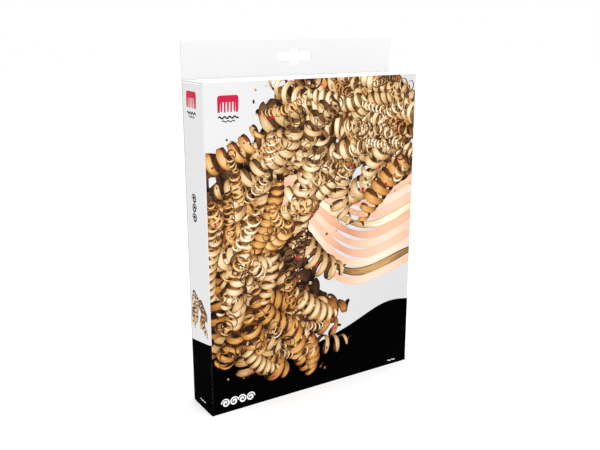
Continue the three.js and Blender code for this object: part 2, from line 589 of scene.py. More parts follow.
@dataclass(frozen=True)
class Sizes:
    """The carton's own sizes, read from its solids, in metres."""

    half_width: float
    front: float
    rear: float
    height: float
    header_top: float
    board: float
    fold: float
    wall_top: float

    @classmethod
    def from_frame(cls) -> "Sizes":
        """Reads the sizes from the nodes' boxes.

        Returns:
            The carton's sizes.
        """
        sleeve_low, sleeve_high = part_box("sleeve")
        hanger_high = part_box("hanger_panel")[1]
        lid_low, lid_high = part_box("lid_panel")
        flap_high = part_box("dust_flap_left")[1]
        return cls(
            half_width=sleeve_high.x,
            front=sleeve_low.y,
            rear=hanger_high.y,
            height=sleeve_high.z,
            header_top=hanger_high.z,
            board=lid_high.z - lid_low.z,
            fold=FOLD_RADIUS,
            wall_top=flap_high.z,
        )

    @property
    def flat_half(self) -> float:
        """Half of the front's flat stretch, between its folds."""
        return self.half_width - self.fold

    @property
    def inner_back(self) -> float:
        """The place of the back wall that the hanger panel is glued on."""
        return self.rear - self.board - PLY_GAP

    def foot(self, past_fold: float) -> float:
        """Returns the black foot's height at a distance along the wrap past a front fold."""
        share = min(max(past_fold / (self.rear - self.front), 0.0), 1.0)
        return FOOT_FRONT + (FOOT_REAR - FOOT_FRONT) * share


def linked(name: str, mesh: bpy.types.Mesh) -> Piece:
    """Makes an object of a mesh and links it to the scene.

    Args:
        name: the object's name.
        mesh: its mesh.

    Returns:
        The linked object.
    """
    made = bpy.data.objects.new(name, mesh)
    bpy.context.scene.collection.objects.link(made)
    return made


def finished_object(
    name: str,
    vertices: np.ndarray,
    faces: Sequence[Sequence[int]],
    slots: Sequence[int],
    materials: Sequence[Material],
    smooth: bool = True,
) -> Piece:
    """Makes a mesh object at the origin.

    Args:
        name: the piece's name.
        vertices: its points, in metres.
        faces: its faces as point numbers.
        slots: each face's material number.
        materials: the materials, by number.
        smooth: whether gentle angles are shaded smooth.

    Returns:
        The linked object.
    """
    mesh = bpy.data.meshes.new(name)
    mesh.from_pydata(vertices.tolist(), [], [list(face) for face in faces])
    for material in materials:
        mesh.materials.append(material)
    mesh.polygons.foreach_set("material_index", np.asarray(slots, dtype=np.int32))
    if smooth:
        mesh.shade_smooth()
        mesh.set_sharp_from_angle(angle=SMOOTH_ANGLE)
    mesh.update()
    return linked(name, mesh)


def board_shell(
    name: str,
    outside: np.ndarray,
    outward: np.ndarray,
    board: float,
    materials: Sequence[Material],
    inked: Inked = lambda row, column: False,
) -> Piece:
    """Makes a closed sheet of board from a grid on its outer face.

    Args:
        name: the piece's name.
        outside: the grid of points, rows by columns by 3. The cross product of a step to the
            next row and a step to the next column points outwards.
        outward: the unit normals of the same grid.
        board: the board's thickness.
        materials: the outer face's, the inner face's and the cut edges' material, and a fourth
            one for the outer faces that are inked.
        inked: tells whether the outer face at a row and a column is inked.

    Returns:
        The linked object.
    """
    rows, columns = outside.shape[:2]
    inside = outside - outward * board
    vertices = np.concatenate([outside.reshape(-1, 3), inside.reshape(-1, 3)])
    depth = rows * columns
    faces: list[tuple[int, ...]] = []
    slots: list[int] = []
    for i in range(rows - 1):
        for j in range(columns - 1):
            a, b = i * columns + j, (i + 1) * columns + j
            faces.append((a, b, b + 1, a + 1))
            faces.append((a + depth, a + 1 + depth, b + 1 + depth, b + depth))
            slots += [3 if inked(i, j) else 0, 1]
    ring = list(range(columns))
    ring += [i * columns + columns - 1 for i in range(1, rows)]
    ring += [(rows - 1) * columns + j for j in range(columns - 2, -1, -1)]
    ring += [i * columns for i in range(rows - 2, 0, -1)]
    for here, after in zip(ring, ring[1:] + ring[:1]):
        faces.append((here, after, after + depth, here + depth))
        slots.append(2)
    return finished_object(name, vertices, faces, slots, materials)


def plate(
    name: str,
    outline: Sequence[Pair],
    place: Place,
    board: float,
    materials: Sequence[Material],
) -> Piece:
    """Makes a flat board with a free outline.

    Args:
        name: the piece's name.
        outline: its corners, in the board's own plane.
        place: turns a point of the plane and a depth from the outer face into a place.
        board: the board's thickness.
        materials: the outer face's, the inner face's and the cut edges' material.

    Returns:
        The linked object.
    """
    count = len(outline)
    vertices = np.array([place(a, b, depth) for depth in (0.0, board) for a, b in outline])
    faces: list[tuple[int, ...]] = [tuple(range(count)), tuple(range(2 * count - 1, count - 1, -1))]
    faces += [(k, count + k, count + (k + 1) % count, (k + 1) % count) for k in range(count)]
    made = finished_object(name, vertices, faces, [0, 1] + [2] * count, materials, smooth=False)
    work = bmesh.new()
    work.from_mesh(made.data)
    bmesh.ops.recalc_face_normals(work, faces=work.faces)
    bmesh.ops.triangulate(work, faces=[face for face in work.faces if len(face.verts) > 4])
    work.to_mesh(made.data)
    work.free()
    return made


def arc(centre: Pair, radius: float, start: float, end: float, steps: int) -> list[Pair]:
    """Returns points on an arc; angles are in degrees and both ends are included."""
    turns = np.radians(np.linspace(start, end, steps + 1))
    return [(centre[0] + radius * math.cos(t), centre[1] + radius * math.sin(t)) for t in turns]


def bent(centre: Pair, radius: float, start: float, end: float, steps: int) -> Profile:
    """Returns the points of an arc, each with its outward normal."""
    points = arc(centre, radius, start, end, steps)
    return [((a, b), ((a - centre[0]) / radius, (b - centre[1]) / radius)) for a, b in points]


def even(start: float, end: float, step: float) -> list[float]:
    """Returns evenly spaced values from start to end, about a step apart."""
    count = max(1, round(abs(end - start) / step))
    return list(np.linspace(start, end, count + 1))


@dataclass
class PanelForm:
    """How far a wall stands off its flat plane: it bows out and eases back beside its folds."""

    bow: float
    ease: float = 0.16 * MM
    ease_reach: float = 3.0 * MM
    end_bow: float = 0.04

    def stand_off(self, share: float, edge: float, rise: float) -> float:
        """Returns the stand-off at a place on the wall.

        Args:
            share: the place across the wall, from 0 to 1.
            edge: the distance to the nearest fold.
            rise: the place up the wall, from 0 to 1.

        Returns:
            The distance outwards.
        """
        across = math.sin(math.pi * min(max(share, 0.0), 1.0))
        up = math.sin(math.pi * (self.end_bow + (1.0 - 2.0 * self.end_bow) * min(max(rise, 0.0), 1.0)))
        return self.bow * across * up - self.ease * math.exp(-((edge / self.ease_reach) ** 2))


@dataclass
class Sleeve:
    """The wrap of inner back, left side, front and right side, folded from one sheet.

    Attributes:
        side_drop: how far the side walls stop below the dust flaps' outer faces.
        ear_relief: the same on the short stretch between a dust flap and the front.
        foot_share: the share of the rows that the black foot takes up.
        edge_rises: the crowded rows at the bottom and the top, as shares of the height.
        edge_columns: the crowded columns beside a fold, by their distance from it.
    """

    sizes: Sizes
    palette: Palette
    front_form: PanelForm = field(default_factory=lambda: PanelForm(0.55 * MM))
    side_form: PanelForm = field(default_factory=lambda: PanelForm(0.22 * MM))
    flat_form: PanelForm = field(default_factory=lambda: PanelForm(0.0))
    side_drop: float = 1.0 * MM
    ear_relief: float = 0.05 * MM
    step: float = 7.0 * MM
    fold_steps: int = 8
    foot_share: float = 0.225
    edge_rises: tuple[float, ...] = (0.0, 0.004, 0.012, 0.025)
    edge_columns: tuple[float, ...] = (1.0 * MM, 2.2 * MM, 4.0 * MM)

    def front_place(self, x: float, z: float, off: float) -> Vector:
        """Finds a point off the front's outer face.

        Args:
            x: the place across.
            z: the place up.
            off: the distance outwards.

        Returns:
            The point.
        """
        half = self.sizes.flat_half
        form = self.front_form.stand_off((x + half) / (2 * half), half - abs(x), z / self.sizes.height)
        return Vector((x, self.sizes.front - form - off, z))

    def side_place(self, y: float, z: float, off: float) -> Vector:
        """Finds a point off the left side's outer face.

        Args:
            y: the place from the front to the rear.
            z: the place up.
            off: the distance outwards.

        Returns:
            The point.
        """
        low, high = self.sizes.front + self.sizes.fold, self.sizes.rear - self.sizes.fold
        share = (y - low) / (high - low)
        form = self.side_form.stand_off(share, min(y - low, high - y), z / self.sizes.height)
        return Vector((-self.sizes.half_width - form - off, y, z))

    def strip_place(self, across: float, z: float, off: float) -> Vector:
        """Returns a place on the left side for one in its strip, which reads from rear to front."""
        return self.side_place(-across, z, off)

    def _plan(self) -> list[tuple]:
        """Follows the wrap round the carton from its hidden edge inside the back.

        Returns:
            For each point: place, normal, wrap length, form, share, edge distance and top.
        """
        s = self.sizes
        inner_back = s.inner_back
        side_top = s.wall_top - self.side_drop
        ear_top = s.wall_top - self.ear_relief
        ear_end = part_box("dust_flap_left")[0].y
        rows: list[tuple] = []
        front_low, left_rear = s.front + s.fold, inner_back - s.fold
        right_rear = s.rear - s.fold
        corner = s.fold * math.pi / 2

        def wall(
            start: Pair, end: Pair, normal: Pair, wrap: float, form: PanelForm, top: float
        ) -> None:
            """Adds a flat stretch.

            Args:
                start: its first point.
                end: its last point.
                normal: its outward normal.
                wrap: the length along the wrap at its start.
                form: how far it stands off.
                top: its top.
            """
            length = math.dist(start, end)
            near = [d for d in self.edge_columns if d < length / 3]
            inner = even(near[-1], length - near[-1], self.step)
            for d in [0.0] + near[:-1] + inner + [length - d for d in reversed(near[:-1])] + [length]:
                x = start[0] + (end[0] - start[0]) * d / length
                y = start[1] + (end[1] - start[1]) * d / length
                high = ear_top if top == side_top and y < ear_end else top
                rows.append(((x, y), normal, wrap + d, form, d / length, min(d, length - d), high))

        def bend(centre: Pair, start: float, wrap: float, top_a: float, top_b: float) -> None:
            """Adds a fold's points between its two flat stretches.

            Args:
                centre: the fold's centre.
                start: the angle it starts at, in degrees.
                wrap: the length along the wrap at its start.
                top_a: the top before it.
                top_b: the top after it.
            """
            turn = bent(centre, s.fold, start, start + 90.0, self.fold_steps)
            for k, (point, normal) in list(enumerate(turn))[1:-1]:
                share = k / self.fold_steps
                top = top_a + (top_b - top_a) * share
                rows.append((point, normal, wrap + corner * share, self.flat_form, 0.0, 0.0, top))

        side = right_rear - front_low
        left_side = left_rear - front_low
        half = s.flat_half
        back_start = -half - corner - left_side - corner - 2 * half
        wall((half, inner_back), (-half, inner_back), (0, 1), back_start, self.flat_form, s.wall_top)
        bend((-half, left_rear), 90.0, back_start + 2 * half, s.wall_top, side_top)
        wall(
            (-s.half_width, left_rear), (-s.half_width, front_low), (-1, 0),
            -half - corner - left_side, self.side_form, side_top,
        )
        bend((-half, front_low), 180.0, -half - corner, ear_top, s.height)
        wall((-half, s.front), (half, s.front), (0, -1), -half, self.front_form, s.height)
        bend((half, front_low), 270.0, half, s.height, ear_top)
        wall(
            (s.half_width, front_low), (s.half_width, right_rear), (1, 0),
            half + corner, self.side_form, side_top,
        )
        bend((half, right_rear), 0.0, half + corner + side, side_top, s.wall_top)
        rows.append(((half, s.rear), (0, 1), half + 2 * corner + side, self.flat_form, 0.0, 0.0, s.wall_top))
        return rows

    def build(self) -> Piece:
        """Makes the wrap's shell.

        Returns:
            The piece, riding on the carton in place of the sleeve.
        """
        s = self.sizes
        plan = self._plan()
        step = self.step / s.height
        *crowded, last = self.edge_rises
        below = crowded + even(last, self.foot_share, step)
        above = even(self.foot_share, 1.0 - last, step)[1:] + [1.0 - rise for rise in reversed(crowded)]
        rises = below + above
        outside = np.zeros((len(plan), len(rises), 3))
        outward = np.zeros_like(outside)
        for i, (point, normal, wrap, form, share, edge, top) in enumerate(plan):
            foot = s.foot(abs(wrap) - s.flat_half)
            for j, rise in enumerate(rises):
                over = (rise - self.foot_share) / (1.0 - self.foot_share)
                z = foot * rise / self.foot_share if over < 0.0 else foot + (top - foot) * over
                off = form.stand_off(share, edge, z / s.height)
                outside[i, j] = (point[0] + normal[0] * off, point[1] + normal[1] * off, z)
                outward[i, j] = (normal[0], normal[1], 0.0)
        wraps = [row[2] for row in plan]
        folds = s.flat_half - TINY
        made = board_shell(
            "sleeve_board", outside, outward, s.board, self.palette.printed_board,
            lambda i, j: j < len(below) - 1 and min(abs(wraps[i]), abs(wraps[i + 1])) >= folds,
        )
        layer = made.data.attributes.new("wrap", "FLOAT", "POINT")
        layer.data.foreach_set("value", np.tile(np.repeat(wraps, len(rises)), 2).astype(np.float32))
        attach(made, Body.CARTON.value)
        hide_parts("sleeve")
        return made


@dataclass
class Hanger:
    """The panel glued on the back, which runs up and folds over into the two-ply header.

    Attributes:
        ply_relief: how much thinner than the carton's board it is, so that its plies don't touch.
        side_relief: how far its free edge stays inside the left side's face.
        foot_relief: how far above the lid its front ply ends.
        slot_rise: how far above the lid the slot's middle lies.
        cut_past: how far behind the back the slot's cutter reaches.
    """

    sizes: Sizes
    palette: Palette
    ply_relief: float = 0.03 * MM
    side_relief: float = 0.5 * MM
    foot_relief: float = 0.1 * MM
    slot_length: float = 41.0 * MM
    slot_height: float = 8.6 * MM
    slot_rise: float = 18.6 * MM
    notch_width: float = 11.5 * MM
    notch_height: float = 16.0 * MM
    notch_corner: float = 3.5 * MM
    cut_depth: float = 5.0 * MM
    cut_past: float = 2.0 * MM
    end_steps: int = 16
    corner_steps: int = 8
    top_steps: int = 10
    column: float = 8.0 * MM

    def _profile(self) -> Profile:
        """Draws the folded board's outer face.

        Returns:
            Its points and normals in the y-z plane.
        """
        s = self.sizes
        fold = s.board
        top = s.header_top - fold
        rises = even(0.0, FOOT_REAR, self.column) + even(FOOT_REAR, top, self.column)[1:]
        points = [((s.rear, z), (1.0, 0.0)) for z in rises]
        points += bent((s.rear - fold, top), fold, 0.0, 180.0, self.top_steps)[1:-1]
        low = s.height + self.foot_relief
        points += [((s.rear - 2 * fold, z), (-1.0, 0.0)) for z in even(top, low, self.column)]
        return points

    def _cutter(self) -> Piece:
        """Makes the solid that cuts the hang slot.

        Returns:
            The solid: a long hole with a notch above and below its middle.
        """
        half_l, half_h = self.slot_length / 2, self.slot_height / 2
        half_w, rise, r = self.notch_width / 2, self.notch_height / 2, self.notch_corner
        right = arc((half_l - half_h, 0.0), half_h, -90.0, 90.0, self.end_steps)
        upper = [(half_w, half_h)] + arc((half_w - r, rise - r), r, 0.0, 90.0, self.corner_steps)
        upper += arc((-half_w + r, rise - r), r, 90.0, 180.0, self.corner_steps) + [(-half_w, half_h)]
        left = arc((-half_l + half_h, 0.0), half_h, 90.0, 270.0, self.end_steps)
        lower = [(-x, -z) for x, z in upper]
        outline = right + upper + left + lower
        centre_z = self.sizes.height + self.slot_rise
        near = self.sizes.rear + self.cut_past - self.cut_depth
        return plate(
            "slot_cutter", outline, lambda a, b, d: Vector((a, near + d, centre_z + b)), self.cut_depth,
            [self.palette.white, self.palette.white, self.palette.raw],
        )

    def build(self) -> Piece:
        """Makes the panel with its header and slot.

        Returns:
            The piece, riding on the carton in place of the hanger panel.
        """
        s = self.sizes
        profile = self._profile()
        made = swept(
            "hanger_board", profile, (-s.half_width + self.side_relief, s.flat_half), False,
            s.board - self.ply_relief, self.palette.white_board, self.column,
            lambda i, j: profile[j][0][0] == s.rear and profile[j + 1][0][1] <= FOOT_REAR + TINY,
        )
        cutter = self._cutter()
        for polygon in cutter.data.polygons:
            polygon.material_index = 2
        cut = made.modifiers.new("slot", "BOOLEAN")
        cut.operation = "DIFFERENCE"
        cut.solver = "EXACT"
        cut.object = cutter
        made = applied(made)
        bpy.data.objects.remove(cutter)
        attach(made, Body.CARTON.value)
        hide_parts("hanger_panel")
        return made


def applied(made: Piece) -> Piece:
    """Turns an object's modifiers into its mesh.

    Args:
        made: the object.

    Returns:
        The same object, with a plain mesh and no modifier.
    """
    bpy.context.view_layer.update()
    depsgraph = bpy.context.evaluated_depsgraph_get()
    mesh = bpy.data.meshes.new_from_object(made.evaluated_get(depsgraph))
    made.modifiers.clear()
    made.data = mesh
    return made


def swept(
    name: str,
    profile: Profile,
    ends: Pair,
    along_y: bool,
    board: float,
    materials: Sequence[Material],
    step: float = 10.0 * MM,
    inked: Inked = lambda row, column: False,
) -> Piece:
    """Sweeps a board's profile straight along x or y.

    Args:
        name: the piece's name.
        profile: the outer face's points and normals, as (y, z) pairs for a sweep along x and
            as (x, z) pairs for one along y.
        ends: where the sweep starts and stops.
        along_y: whether the sweep runs along y.
        board: the board's thickness.
        materials: the outer face's, the inner face's and the cut edges' material.
        step: the sweep's step.
        inked: tells whether the outer face at a row and a column is inked.

    Returns:
        The linked object.
    """
    stations = even(ends[0], ends[1], step)
    outside, outward = np.zeros((2, len(stations), len(profile), 3))
    along, sideways = (1, 0) if along_y else (0, 1)
    outside[..., along] = np.array(stations)[:, None]
    for grid, pairs in zip((outside, outward), zip(*profile)):
        grid[..., (sideways, 2)] = pairs
    first = np.cross(outside[1, 0] - outside[0, 0], outside[0, 1] - outside[0, 0])
    if np.dot(first, outward[0, 0]) < 0:
        outside, outward = outside[::-1], outward[::-1]
    return board_shell(name, outside, outward, board, materials, inked)


@dataclass
class Closure:
    """The lid, its tuck tab, the two dust flaps and the creases that carry them.

    Attributes:
        sag: how far the lid's middle is sunk.
        lid_steps: the lid's columns and rows, by their distance.
        edge_drop: how far the lid's side edges are eased down, over the edge's reach.
        corner_cut: how much of the lid's front corners is cut off.
        blend_inset: how far inside the rear crease its start is held.
        blend_drop: how far below its flap a dust crease's start is held.
    """

    sizes: Sizes
    palette: Palette
    crease: float = 0.8 * MM
    rear_crease: float = 0.6 * MM
    sag: float = 0.22 * MM
    lid_steps: Pair = (8.0 * MM, 5.0 * MM)
    edge_drop: float = 0.08 * MM
    edge_reach: float = 3.0 * MM
    clearance: float = 0.1 * MM
    corner_cut: float = 0.5 * MM
    blend_inset: float = 0.2 * MM
    blend_drop: float = 0.6 * MM
    crease_steps: int = 8
    tab_steps: int = 10
    tab_corner: float = 9.0 * MM
    flap_taper: float = 5.0 * MM
    flap_corner: float = 4.0 * MM
    flap_bevel: float = 1.2 * MM
    flap_start: float = 1.4 * MM
    flap_crease: float = 1.0 * MM

    def _lid(self) -> Piece:
        """Makes the lid's flat board, sunk in its middle, with its ears beside the tab's crease.

        Returns:
            The piece.
        """
        s = self.sizes
        low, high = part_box("lid_panel")
        ear = even(self.tab_half, high.x, self.edge_reach)
        inner = self.tab_half - self.clearance
        xs = [-x for x in reversed(ear)] + even(-inner, inner, self.lid_steps[0]) + ear
        ys = even(low.y + self.crease, high.y - self.crease, self.lid_steps[1])
        x, y = np.meshgrid(xs, ys, indexing="ij")
        sunk = self.sag * np.cos(np.pi * x / (high.x - low.x)) * np.sin(np.pi * np.linspace(0, 1, len(ys)))
        drop = self.edge_drop * np.exp(-(((high.x - np.abs(x)) / self.edge_reach) ** 2))
        outside = np.stack([x, y, high.z - sunk - drop], axis=-1)
        outside[np.abs(xs) >= self.tab_half, 0, 1] = low.y + self.clearance
        for i in (0, -1):
            outside[i, 0] += (math.copysign(self.corner_cut, -outside[i, 0, 0]), self.clearance, 0.0)
        outward = np.zeros_like(outside)
        outward[..., 2] = 1.0
        made = board_shell("lid_board", outside, outward, s.board, self.palette.lid_board)
        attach(made, Body.LID.value)
        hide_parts("lid_panel")
        return made

    def _creases(self) -> list[Piece]:
        """Makes the lid's rear and front creases, and notes where the tab starts.

        Returns:
            The rear and the front crease.
        """
        s = self.sizes
        low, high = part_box("lid_panel")
        materials = self.palette.lid_board
        centre = (s.inner_back - self.rear_crease, s.height - self.rear_crease)
        rear_profile = bent(centre, self.rear_crease, 0.0, 90.0, self.crease_steps)
        rear_profile.append(((high.y - self.crease, s.height), (0.0, 1.0)))
        rear = swept("lid_rear_crease", rear_profile, (low.x, high.x), False, s.board, materials)
        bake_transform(rear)
        centre = (low.y + self.crease, s.height - self.crease)
        front_profile = bent(centre, self.crease, 90.0, 180.0 + math.degrees(self.lean), self.tab_steps)
        half = self.tab_half
        front = swept("lid_front_crease", front_profile, (-half, half), False, s.board, materials)
        end_y, end_z = front_profile[-1][0]
        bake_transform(front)
        self.tab_top = (end_y, end_z)
        return [rear, front]

    @property
    def tab_half(self) -> float:
        """Half of the tuck tab's width."""
        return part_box("tuck_tab")[1].x

    @property
    def lean(self) -> float:
        """The angle that the tuck tab leans inwards by, from its box."""
        low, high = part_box("tuck_tab")
        return math.atan2(high.y - low.y - self.sizes.board, high.z - low.z)

    def _tab(self) -> Piece:
        """Makes the tuck tab, with round lower corners.

        Returns:
            The piece.
        """
        top_y, top_z = self.tab_top
        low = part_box("tuck_tab")[0]
        length = (top_z - low.z) / math.cos(self.lean)
        half, r, steps = self.tab_half, self.tab_corner, self.tab_steps
        outline = [(-half, 0.0)] + arc((-half + r, -length + r), r, 180.0, 270.0, steps)
        outline += arc((half - r, -length + r), r, 270.0, 360.0, steps) + [(half, 0.0)]
        down = Vector((0.0, math.sin(self.lean), -math.cos(self.lean)))
        inward = Vector((0.0, math.cos(self.lean), math.sin(self.lean)))
        made = plate(
            "tuck_board", outline,
            lambda a, b, d: Vector((a, top_y, top_z)) - down * b + inward * d,
            self.sizes.board, self.palette.lid_board,
        )
        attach(made, Body.TUCK.value)
        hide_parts("tuck_tab")
        return made

    def _dust_flap(self, side: Side) -> list[Piece]:
        """Makes a dust flap and the crease that joins it to its side wall.

        Args:
            side: the side that carries it.

        Returns:
            The flap and its crease.
        """
        s = self.sizes
        which = side.name.lower()
        body = Body.LEFT_FLAP if side is Side.LEFT else Body.RIGHT_FLAP
        low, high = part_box(f"dust_flap_{which}")
        inner = min(abs(low.x), abs(high.x))
        r, bevel = self.flap_corner, self.flap_bevel
        start, front = s.half_width - self.flap_start, low.y + self.flap_taper
        sign = side.value
        outline = [
            (start, low.y), (inner + r, front), (inner + bevel, front + bevel), (inner, front + r),
            (inner, high.y - r), (inner + bevel, high.y - bevel), (inner + r, high.y), (start, high.y),
        ]
        materials = self.palette.lid_board
        flap = plate(
            f"dust_flap_board_{which}", [(sign * a, b) for a, b in outline],
            lambda a, b, d: Vector((a, b, s.wall_top - d)), s.board, materials,
        )
        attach(flap, body.value)
        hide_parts(f"dust_flap_{which}")
        r = self.flap_crease
        turn = bent((s.half_width - r, s.wall_top - r), r, 0.0, 90.0, self.crease_steps)
        profile = [((sign * x, z), (sign * nx, nz)) for (x, z), (nx, nz) in turn]
        profile.append(((sign * start, s.wall_top), (0.0, 1.0)))
        crease = swept(f"dust_crease_{which}", profile, (low.y, high.y), True, s.board, materials)
        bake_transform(crease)
        return [flap, crease]

    def build(self) -> list[Piece]:
        """Makes the whole closure.

        Returns:
            Its pieces.
        """
        made = [self._lid(), *self._creases(), self._tab()]
        for side in Side:
            made += self._dust_flap(side)
        return made


@dataclass(frozen=True)
class Path:
    """A printed ribbon's middle line with its half width, light, streak seed and layer."""

    points: Sequence[Pair]
    half_widths: Sequence[float]
    lit: Sequence[float]
    seed: float
    layer: float
    ink: Ink


@dataclass(frozen=True)
class Fleck:
    """One piece of printed confetti."""

    place: Pair
    radius: float
    stretch: float
    turn: float
    corners: int
    layer: float
    ink: Ink


@dataclass(frozen=True)
class Shape:
    """A flat printed shape."""

    outline: Sequence[Pair]
    layer: float
    ink: Ink


def point_mesh(
    name: str, points: Sequence[Pair], edges: Sequence[tuple[int, int]], columns: dict[str, Sequence[float]]
) -> Piece:
    """Makes a flat mesh of points and edges that carries values on its points.

    Args:
        name: the object's name.
        points: the points in the design's plane.
        edges: pairs of point numbers.
        columns: each attribute's name and its values.

    Returns:
        The linked object.
    """
    mesh = bpy.data.meshes.new(name)
    mesh.from_pydata([(x, z, 0.0) for x, z in points], list(edges), [])
    for label, values in columns.items():
        layer = mesh.attributes.new(label, "FLOAT", "POINT")
        layer.data.foreach_set("value", np.asarray(values, dtype=np.float32))
    return linked(name, mesh)


class InkTree:
    """A geometry tree that turns points or paths into flat printed pieces.

    Attributes:
        title: the tree's name.
        number_name: the name of the tree's own number input.
        number_kind: that input's socket type.
    """

    title = "Ink"
    number_name = "Number"
    number_kind = "NodeSocketFloat"

    def __init__(self) -> None:
        """Builds the tree once, with its named inputs."""
        self.tree = bpy.data.node_groups.new(self.title, "GeometryNodeTree")
        face = self.tree.interface
        face.new_socket("Drawing", in_out="INPUT", socket_type="NodeSocketGeometry")
        number = face.new_socket(self.number_name, in_out="INPUT", socket_type=self.number_kind)
        self.number_key = number.identifier
        self.ink_key = face.new_socket("Ink", in_out="INPUT", socket_type="NodeSocketMaterial").identifier
        face.new_socket("Printed", in_out="OUTPUT", socket_type="NodeSocketGeometry")
        graph = Graph(self.tree)
        start, end = graph.node("NodeGroupInput"), graph.node("NodeGroupOutput")
        drawn = self.draw(graph, start.outputs["Drawing"], start.outputs[self.number_name])
        real = graph.node("GeometryNodeRealizeInstances", {"Geometry": drawn})
        inked = graph.node(
            "GeometryNodeSetMaterial",
            {"Geometry": real.outputs["Geometry"], "Material": start.outputs["Ink"]},
        )
        graph.feed(end.inputs[0], inked.outputs["Geometry"])

    def draw(self, graph: Graph, drawing: Socket, number: Socket) -> Socket:
        """Adds the nodes that draw the points or paths, and returns the drawn geometry."""
        raise NotImplementedError

    def run(self, source: Piece, number: float, ink: Material) -> Piece:
        """Draws the pieces of one object.

        Args:
            source: the points or paths, which become the printed pieces.
            number: the number input's value.
            ink: the pieces' material.

        Returns:
            The same object, with a plain flat mesh in millimetres.
        """
        modifier = source.modifiers.new(self.title, "NODES")
        modifier.node_group = self.tree
        modifier[self.number_key] = number
        modifier[self.ink_key] = ink
        return applied(source)


class RibbonTree(InkTree):
    """Sweeps flat ribbons along paths and keeps the place along and across them."""

    title = "Printed ribbons"
    number_name = "Width factor"

    def draw(self, graph: Graph, drawing: Socket, number: Socket) -> Socket:
        """Adds the sweep.

        Args:
            graph: the tree.
            drawing: the paths.
            number: the width's factor.

        Returns:
            The swept ribbons.
        """
        curves = graph.node("GeometryNodeMeshToCurve", {"Mesh": drawing})
        path, along = self._captured(graph, curves.outputs["Curve"], "Length")
        scale = graph.math("MULTIPLY", graph.named("half_width"), number)
        ends = {"Start": (-1.0, 0.0, 0.0), "End": (1.0, 0.0, 0.0)}
        line = graph.node("GeometryNodeCurvePrimitiveLine", ends)
        profile, across = self._captured(graph, line.outputs["Curve"], "Factor")
        flat = graph.node("GeometryNodeSetCurveNormal", {"Curve": path}, mode="Z_UP")
        mesh = graph.node(
            "GeometryNodeCurveToMesh",
            {"Curve": flat.outputs["Curve"], "Profile Curve": profile, "Scale": scale},
        )
        kept = mesh.outputs["Mesh"]
        for name, value in (("along", along), ("across", across)):
            store = graph.node(
                "GeometryNodeStoreNamedAttribute", {"Geometry": kept, "Name": name, "Value": value},
                data_type="FLOAT", domain="POINT",
            )
            kept = store.outputs["Geometry"]
        return kept

    @staticmethod
    def _captured(graph: Graph, curve: Socket, measure: str) -> tuple[Socket, Socket]:
        """Keeps a spline's factor or length on its points.

        Args:
            graph: the tree.
            curve: the curve.
            measure: the Spline Parameter output to keep.

        Returns:
            The curve and the kept value.
        """
        parameter = graph.node("GeometryNodeSplineParameter")
        capture = graph.node("GeometryNodeCaptureAttribute", {"Geometry": curve}, domain="POINT")
        capture.capture_items.new("FLOAT", measure)
        graph.feed(capture.inputs[1], parameter.outputs[measure])
        return capture.outputs["Geometry"], capture.outputs[1]

    def sweep(self, name: str, paths: Sequence[Path], ink: Material) -> Piece:
        """Sweeps the paths' ribbons.

        Args:
            name: the object's name.
            paths: the paths.
            ink: the ribbons' material.

        Returns:
            The flat ribbons.
        """
        edges: list[tuple[int, int]] = []
        start = 0
        for path in paths:
            edges += [(start + k, start + k + 1) for k in range(len(path.points) - 1)]
            start += len(path.points)
        columns = {
            "half_width": [width for path in paths for width in path.half_widths],
            "lit": [value for path in paths for value in path.lit],
            "seed": [path.seed for path in paths for _ in path.points],
            "layer": [path.layer for path in paths for _ in path.points],
        }
        source = point_mesh(name, [point for path in paths for point in path.points], edges, columns)
        return self.run(source, 1.0, ink)


class ConfettiTree(InkTree):
    """Lays a flat disc or lozenge on each point."""

    title = "Printed confetti"
    number_name = "Corners"
    number_kind = "NodeSocketInt"

    def draw(self, graph: Graph, drawing: Socket, number: Socket) -> Socket:
        """Adds the instances.

        Args:
            graph: the tree.
            drawing: the points.
            number: the corners of a piece.

        Returns:
            The laid pieces.
        """
        circle = graph.node("GeometryNodeMeshCircle", {"Vertices": number, "Radius": 1.0}, fill_type="NGON")
        values = {name: graph.named(name) for name in ("radius_x", "radius_z", "turn")}
        laid = graph.node("GeometryNodeInstanceOnPoints", {
            "Points": drawing,
            "Instance": circle.outputs["Mesh"],
            "Rotation": graph.vector(0.0, 0.0, values["turn"]),
            "Scale": graph.vector(values["radius_x"], values["radius_z"], 1.0),
        })
        return laid.outputs["Instances"]

    def scatter(self, name: str, flecks: Sequence[Fleck], ink: Material) -> Piece:
        """Lays flecks that share a number of corners.

        Args:
            name: the object's name.
            flecks: the flecks.
            ink: their material.

        Returns:
            The flat flecks.
        """
        light, spread, pace = 0.55, 0.3, 7.0
        columns = {
            "radius_x": [fleck.radius for fleck in flecks],
            "radius_z": [fleck.radius * fleck.stretch for fleck in flecks],
            "turn": [fleck.turn for fleck in flecks],
            "layer": [fleck.layer for fleck in flecks],
            "lit": [light + spread * math.sin(pace * fleck.turn) for fleck in flecks],
            "across": [0.5 for _ in flecks],
        }
        source = point_mesh(name, [fleck.place for fleck in flecks], [], columns)
        return self.run(source, flecks[0].corners, ink)


